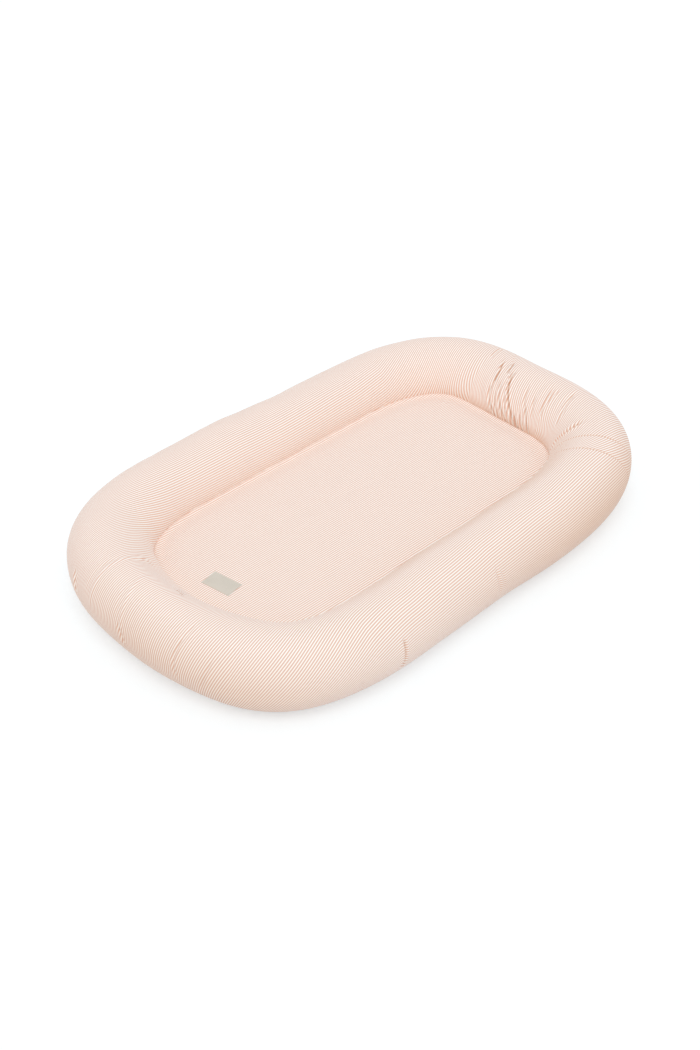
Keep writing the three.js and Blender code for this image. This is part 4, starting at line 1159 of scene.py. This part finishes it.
# How the striped cloth lies on the tube, at equal steps clockwise from the middle of the foot:
# the heading of its cut in degrees (90 runs up the left side, -90 down the right side), its shift
# outward in millimetres, and how its stripes bow, turn and curl away from the top.
CLOTH_LAY = (
    (186.6, -8.5, -0.022, -0.045, 0.017),
    (176.1, -4.3, 0.027, -0.031, 0.007),
    (152.6, -0.9, 0.054, -0.007, 0.006),
    (119.3, 2.1, 0.052, 0.017, -0.001),
    (96.8, 5.3, 0.014, 0.007, -0.003),
    (87.7, 7.4, 0.002, 0.005, -0.003),
    (85.6, 10.9, -0.014, 0.005, -0.001),
    (85.3, 17.5, -0.032, 0.003, 0.001),
    (84.2, 22.7, -0.030, 0.006, 0.000),
    (84.0, 27.1, -0.025, 0.010, -0.002),
    (77.0, 28.0, 0.003, 0.042, 0.001),
    (50.7, 14.4, 0.028, 0.067, -0.001),
    (17.2, -2.0, 0.050, 0.034, -0.008),
    (-12.0, -7.3, 0.037, 0.008, -0.013),
    (-11.1, -7.7, 0.037, 0.013, -0.011),
    (-15.1, -5.8, 0.040, 0.017, -0.013),
    (-44.4, -3.3, 0.039, 0.003, -0.017),
    (-72.7, -2.0, 0.019, 0.004, -0.004),
    (-88.8, -3.3, -0.012, -0.013, 0.004),
    (-93.7, -5.6, -0.007, 0.003, 0.001),
    (-97.5, -1.7, -0.016, 0.001, 0.001),
    (-96.2, 1.8, -0.016, -0.000, 0.002),
    (-92.3, 0.6, -0.018, -0.012, 0.002),
    (-94.7, -0.8, -0.018, -0.005, 0.004),
    (-110.0, 3.1, -0.014, -0.011, 0.001),
    (-136.2, 1.4, 0.020, 0.009, -0.008),
    (-165.1, -3.6, 0.068, 0.034, -0.014),
    (-172.6, -5.8, 0.033, -0.006, -0.001),
)
CUT_STEP = 0.001
CUT_STRETCH = 0.971
LAY_EASE = 1.021
LAY_INNER_REACH = math.radians(115)
LAY_MARGIN = math.radians(12)
PHOTO_AZIMUTH = math.radians(45.43)
PHOTO_ELEVATION = math.radians(37.47)
UNDER_TURN = math.radians(226)
GUSSET_HEADING = math.radians(-59)
# Painted glow low on the sleeves' inner wall, for light bounced off the facing cloth.
PAINTED_GLOW_TURN = math.radians(120)
PAINTED_GLOW_REACH = math.radians(60)
# Painted shade in the folds, growing with their depth, and at the foot of the inner wall where the
# sleeve meets the panel.
PAINTED_SHADE_FOLD_DEPTH = 0.0034
PAINTED_SHADE_POWER = 1.7
PAINTED_SHADE_TURN = math.radians(168)
PAINTED_SHADE_REACH = math.radians(17)
PAINTED_SHADES = (
    # painted shade where less light falls: turn in degrees where it starts and how much further it
    # is full, then (place in metres, strength): low on the outside, and on the near side's inner
    # shoulder
    (65, -60, (-1.08, 0.50), (-0.93, 0.26), (-0.80, 0.0), (0.12, 0.2), (0.22, 0.75), (0.36, 0.62),
     (0.48, 0.40), (0.60, 0.20), (0.74, 0.10), (0.82, 0.18), (0.90, 0.42), (1.08, 0.50)),
    (105, 30, (0.14, 0.0), (0.34, 0.52), (0.62, 0.52), (0.86, 0.0)),
)
# Painted shade along the corner seams.
SEAM_PAINTED_SHADE = 0.55
SEAM_PAINTED_SHADE_WIDTH = 0.0014


def crease_depth(place, turn, half_width, depth, line):
    """Depth of one crease: a valley along a line of (place, turn), with low ridges beside it."""
    along = [0.0]
    spots = [(s / 1000, t * DEGREE_LENGTH) for s, t in line]
    for (s0, r0), (s1, r1) in zip(spots[:-1], spots[1:]):
        along.append(along[-1] + math.hypot(s1 - s0, r1 - r0))
    nearest = np.full(place.shape, np.inf)
    share = np.zeros(place.shape)
    for k, ((s0, r0), (s1, r1)) in enumerate(zip(spots[:-1], spots[1:])):
        length = along[k + 1] - along[k]
        across, up = around_ring(place - s0), turn - r0
        reach = np.clip((across * (s1 - s0) + up * (r1 - r0)) / length ** 2, 0, 1)
        away = np.hypot(across - reach * (s1 - s0), up - reach * (r1 - r0))
        closer = away < nearest
        nearest = np.where(closer, away, nearest)
        share = np.where(closer, (along[k] + reach * length) / along[-1], share)
    to_end = np.minimum(share, 1 - share)
    fade = np.clip(to_end * CREASE_END_SLOPE + CREASE_END_SHARE, 0, 1)
    valley = np.exp(-np.square(nearest / half_width))
    from_ridge = (nearest - RIDGE_PLACE * half_width) / half_width
    ridges = RIDGE_SHARE * np.exp(-np.square(from_ridge))
    return depth * fade * (valley - ridges)


def sleeve_stations(start, finish):
    """Places of the rows of points along a sleeve, close together at seams and folds."""
    fine = np.linspace(start, finish, int((finish - start) / FINE_STEP))
    step = np.full(len(fine), PLAIN_STEP)
    for middle, reach, fold_step in FOLD_ZONES:
        away = np.maximum(0, np.abs(around_ring(fine - middle)) - reach)
        step = np.minimum(step, fold_step + away * STEP_GROWTH)
    for end in (start, finish):
        away = np.maximum(0, np.abs(fine - end) - SEAM_ZONE)
        step = np.minimum(step, SEAM_STEP + away * STEP_GROWTH)
    count = np.concatenate([[0], np.cumsum(np.diff(fine) / step[1:])])
    return np.interp(np.linspace(0, count[-1], int(count[-1])), count, fine)


def cloth_lay(distance):
    """Heading, shift, bow, turn and curl of the cloth at places on the ring."""
    steps = np.linspace(0, ring_length, len(CLOTH_LAY) + 1)
    lay = np.array([*CLOTH_LAY, CLOTH_LAY[0]])
    lay[-1, 0] -= 360
    from_foot = np.mod(distance - ring_length / 2, ring_length)
    heading, shift, bow, turn, curl = [np.interp(from_foot, steps, column) for column in lay.T]
    return np.radians(heading), shift / 1000, bow, turn, curl


def cloth_cut(place, turns):
    """The flat cut of a sleeve: across its stripes, and along them."""
    fine = np.arange(place.min() - CUT_STEP, place.max() + CUT_STEP, CUT_STEP)
    fine_heading = cloth_lay(fine + CUT_STEP / 2)[0]
    across = np.interp(place, fine, np.cumsum(np.cos(fine_heading)) * CUT_STEP)
    along = np.interp(place, fine, np.cumsum(np.sin(fine_heading)) * CUT_STEP)
    heading, shift, bow, turn, curl = cloth_lay(place)
    out = math.pi / 2 - turns
    shifted = CUT_STRETCH * out * TUBE_HALF_WIDTH + shift
    towards = ring_outward(place) @ np.array([math.sin(PHOTO_AZIMUTH), -math.cos(PHOTO_AZIMUTH)])
    hidden = math.pi / 2 + np.arctan(towards / math.tan(PHOTO_ELEVATION)) + LAY_MARGIN
    # The stripes bend only as far as the photograph shows them, and run straight on from there.
    bent = np.clip(out, -LAY_INNER_REACH, hidden)
    drawn = TUBE_HALF_WIDTH * (bow * bent ** 2 + turn * bent ** 3 + curl * bent ** 4)
    flat = [across - shifted * np.sin(heading) + drawn, along + shifted * np.cos(heading)]
    return LAY_EASE * np.stack(flat, axis=-1)


def turned_cut(place, turns, heading):
    """The flat cut of a narrow piece whose stripes keep one heading."""
    out = (math.pi / 2 - turns) * TUBE_HALF_WIDTH
    across = place * math.cos(heading) - out * math.sin(heading)
    return np.stack([across, place * math.sin(heading) + out * math.cos(heading)], axis=-1)


def sleeve_points(start, finish, heading):
    """Rows of points of a sleeve piece, the flat cut of its cloth, its painted glow and its
    painted shade.
    """
    distances = sleeve_stations(start, finish)
    turns = section_turns(SLEEVE_POINTS)
    lean, rise = seam_lean(distances[:, None])
    place = distances[:, None] + lean * np.cos(turns) + rise * np.sin(turns)
    arc = turns[None, :] * TUBE_HALF_WIDTH * np.ones_like(place)
    sink = -fullness(distances)[:, None] * np.ones_like(place)
    folds = np.zeros_like(place)
    for half_width, depth, *line in SLEEVE_CREASES:
        folds += crease_depth(place, arc, half_width / 1000, depth / 1000, line)
    sink += folds
    # Painted glow on the low inner wall.
    painted_glow = np.clip((turns - PAINTED_GLOW_TURN) / PAINTED_GLOW_REACH, 0, 1) * np.ones_like(place)
    # Painted shade: darker in the folds, at the corner seams, at the foot of the inner wall and
    # where less light falls.
    seams = np.array([UPPER_SEAM_PLACE, LOWER_SEAM_PLACE])
    to_corner = np.abs(around_ring(distances[:, None] - seams)).min(axis=1)
    painted_shade = np.maximum(
        (np.maximum(0, folds) / PAINTED_SHADE_FOLD_DEPTH) ** PAINTED_SHADE_POWER,
        SEAM_PAINTED_SHADE * np.exp(-np.square(to_corner / SEAM_PAINTED_SHADE_WIDTH))[:, None])
    foot_of_wall = np.clip((turns - PAINTED_SHADE_TURN) / PAINTED_SHADE_REACH, 0, 1)
    painted_shade = np.maximum(painted_shade, foot_of_wall * painted_shade_at_base(place))
    for start_turn, reach, *line in PAINTED_SHADES:
        share = np.clip((np.degrees(turns) - start_turn) / reach, 0, 1)
        painted_shade = np.maximum(painted_shade, share * np.interp(around_ring(place), *zip(*line)))
    to_seam = np.minimum(distances - start, finish - distances)[:, None]
    sink += SEAM_SINK * np.square(np.clip(1 - to_seam / SEAM_VALLEY, 0, 1))
    wave = 2 * math.pi * place / ring_length
    sink += SWELL * np.sin(wave * SWELLS + 1) * np.cos(turns * 2 + wave * 3)
    rows = ring_surface(distances, turns, 0, 0, sink=sink)
    under = turns[-1] + 2 * math.cos(turns[0])
    place = np.append(place, place[:, -1:], axis=1)
    turns = np.append(turns, under)[None, :]
    cut = cloth_cut(place, turns) if heading is None else turned_cut(place, turns, heading)
    return rows, cut, painted_glow, np.clip(painted_shade, 0, 1)


def add_sleeve(name, node, start, finish, heading=None):
    rows, cut, painted_glow, painted_shade = sleeve_points(start, finish, heading)
    piece = add_grid(name, rows, cut)
    set_painted_light(piece, painted_glow, painted_shade)
    with reshaping(piece) as shape:
        top = max(shape.faces, key=lambda face: face.calc_center_median().z)
        if top.normal.z < 0:
            bmesh.ops.reverse_faces(shape, faces=shape.faces)
        # Under the pad the stripes follow the plan.
        flat_cut = shape.loops.layers.uv["cut"]
        first_under = np.searchsorted(section_turns(SLEEVE_POINTS), UNDER_TURN)
        for face in shape.faces:
            if face.index % SLEEVE_POINTS >= first_under:
                for loop in face.loops:
                    loop[flat_cut].uv = loop.vert.co.xy
    add_wall(piece, SLEEVE_WALL)
    piece.data.materials.append(striped_cotton)
    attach(piece, "cover")
    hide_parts(node)


add_sleeve(
    "striped_head_sleeve", "head_sleeve", GATHER_PLACE, UPPER_SEAM_PLACE)
add_sleeve(
    "striped_corner_gusset", "corner_gusset", UPPER_SEAM_PLACE, LOWER_SEAM_PLACE,
    heading=GUSSET_HEADING)
add_sleeve(
    "striped_bumper_sleeve", "bumper_sleeve", LOWER_SEAM_PLACE, ring_end)


# Studio. A floor of white paper in even light from a white sky, with one wide soft lamp above,
# between the near side and the foot. The camera sees the paper greyer but with a glow of its
# own, so that it comes out white and keeps the object's faint shadow.

FLOOR_HALF_SIZE = 9.0
FLOOR_WHITE = "#EEF0F2"
FLOOR_SEEN = "#BFC6C9"
FLOOR_LIFT = 0.487
SKY_STRENGTH = 0.815
LAMP_PLACE = (0.9, -0.85, 2.1)
LAMP_SPREAD = math.radians(42)
LAMP_STRENGTH = 0.79
CAMERA_TARGET = (-0.0201, -0.0028, 0.0)
CAMERA_DISTANCE = 2.4321
CAMERA_LENS = 54.43
CAMERA_SENSOR = 36

floor_mesh = bpy.data.meshes.new("studio_floor")
floor_corners = [(x * FLOOR_HALF_SIZE, y * FLOOR_HALF_SIZE, 0) for x, y in CORNERS]
floor_mesh.from_pydata(floor_corners, [], [(0, 1, 2, 3)])
floor = add_object("studio_floor", floor_mesh)
paper, paper_tree, paper_shader = new_material(
    "white_paper_floor", 1.0, **{"Specular IOR Level": 0.0, "Emission Color": (1, 1, 1, 1)})
light_path = add_node(paper_tree, "ShaderNodeLightPath")
seen = light_path.outputs["Is Camera Ray"]
floor_colour = add_node(
    paper_tree, "ShaderNodeMix", data_type="RGBA", links={"Factor": seen},
    values={MIX_FIRST: linear(FLOOR_WHITE), MIX_SECOND: linear(FLOOR_SEEN)})
lift = add_node(
    paper_tree, "ShaderNodeMath", operation="MULTIPLY", links={0: seen}, values={1: FLOOR_LIFT})
paper_tree.links.new(floor_colour.outputs[MIX_RESULT], paper_shader.inputs["Base Color"])
paper_tree.links.new(lift.outputs["Value"], paper_shader.inputs["Emission Strength"])
floor_mesh.materials.append(paper)

sky = bpy.data.worlds.new("white studio")
sky.use_nodes = True
sky_tree = sky.node_tree
sky_tree.nodes.clear()
sky_path = add_node(sky_tree, "ShaderNodeLightPath")
seen_sky = add_node(
    sky_tree, "ShaderNodeMath", operation="MAXIMUM",
    links={0: sky_path.outputs["Is Camera Ray"], 1: sky_path.outputs["Is Glossy Ray"]})
strength = add_node(
    sky_tree, "ShaderNodeMapRange", links={"Value": seen_sky.outputs["Value"]},
    values={"To Min": SKY_STRENGTH, "To Max": 1.0})
sky_light = add_node(
    sky_tree, "ShaderNodeBackground", values={"Color": (1, 1, 1, 1)},
    links={"Strength": strength.outputs["Result"]})
add_node(sky_tree, "ShaderNodeOutputWorld", links={"Surface": sky_light.outputs["Background"]})
bpy.context.scene.world = sky

lamp_data = bpy.data.lights.new("soft light", "SUN")
lamp_data.angle = LAMP_SPREAD
lamp_data.energy = LAMP_STRENGTH
lamp = add_object("soft light", lamp_data)
lamp.location = LAMP_PLACE
lamp.rotation_euler = Vector(LAMP_PLACE).to_track_quat("Z", "Y").to_euler()

level = math.cos(PHOTO_ELEVATION)
back = Vector((
    math.sin(PHOTO_AZIMUTH) * level, -math.cos(PHOTO_AZIMUTH) * level, math.sin(PHOTO_ELEVATION)))
camera_data = bpy.data.cameras.new("camera")
camera_data.lens = CAMERA_LENS
camera_data.sensor_width = CAMERA_SENSOR
camera = add_object("camera", camera_data)
camera.location = Vector(CAMERA_TARGET) + back * CAMERA_DISTANCE
camera.rotation_euler = back.to_track_quat("Z", "Y").to_euler()
bpy.context.scene.camera = camera
bpy.context.scene.view_settings.view_transform = "Standard"
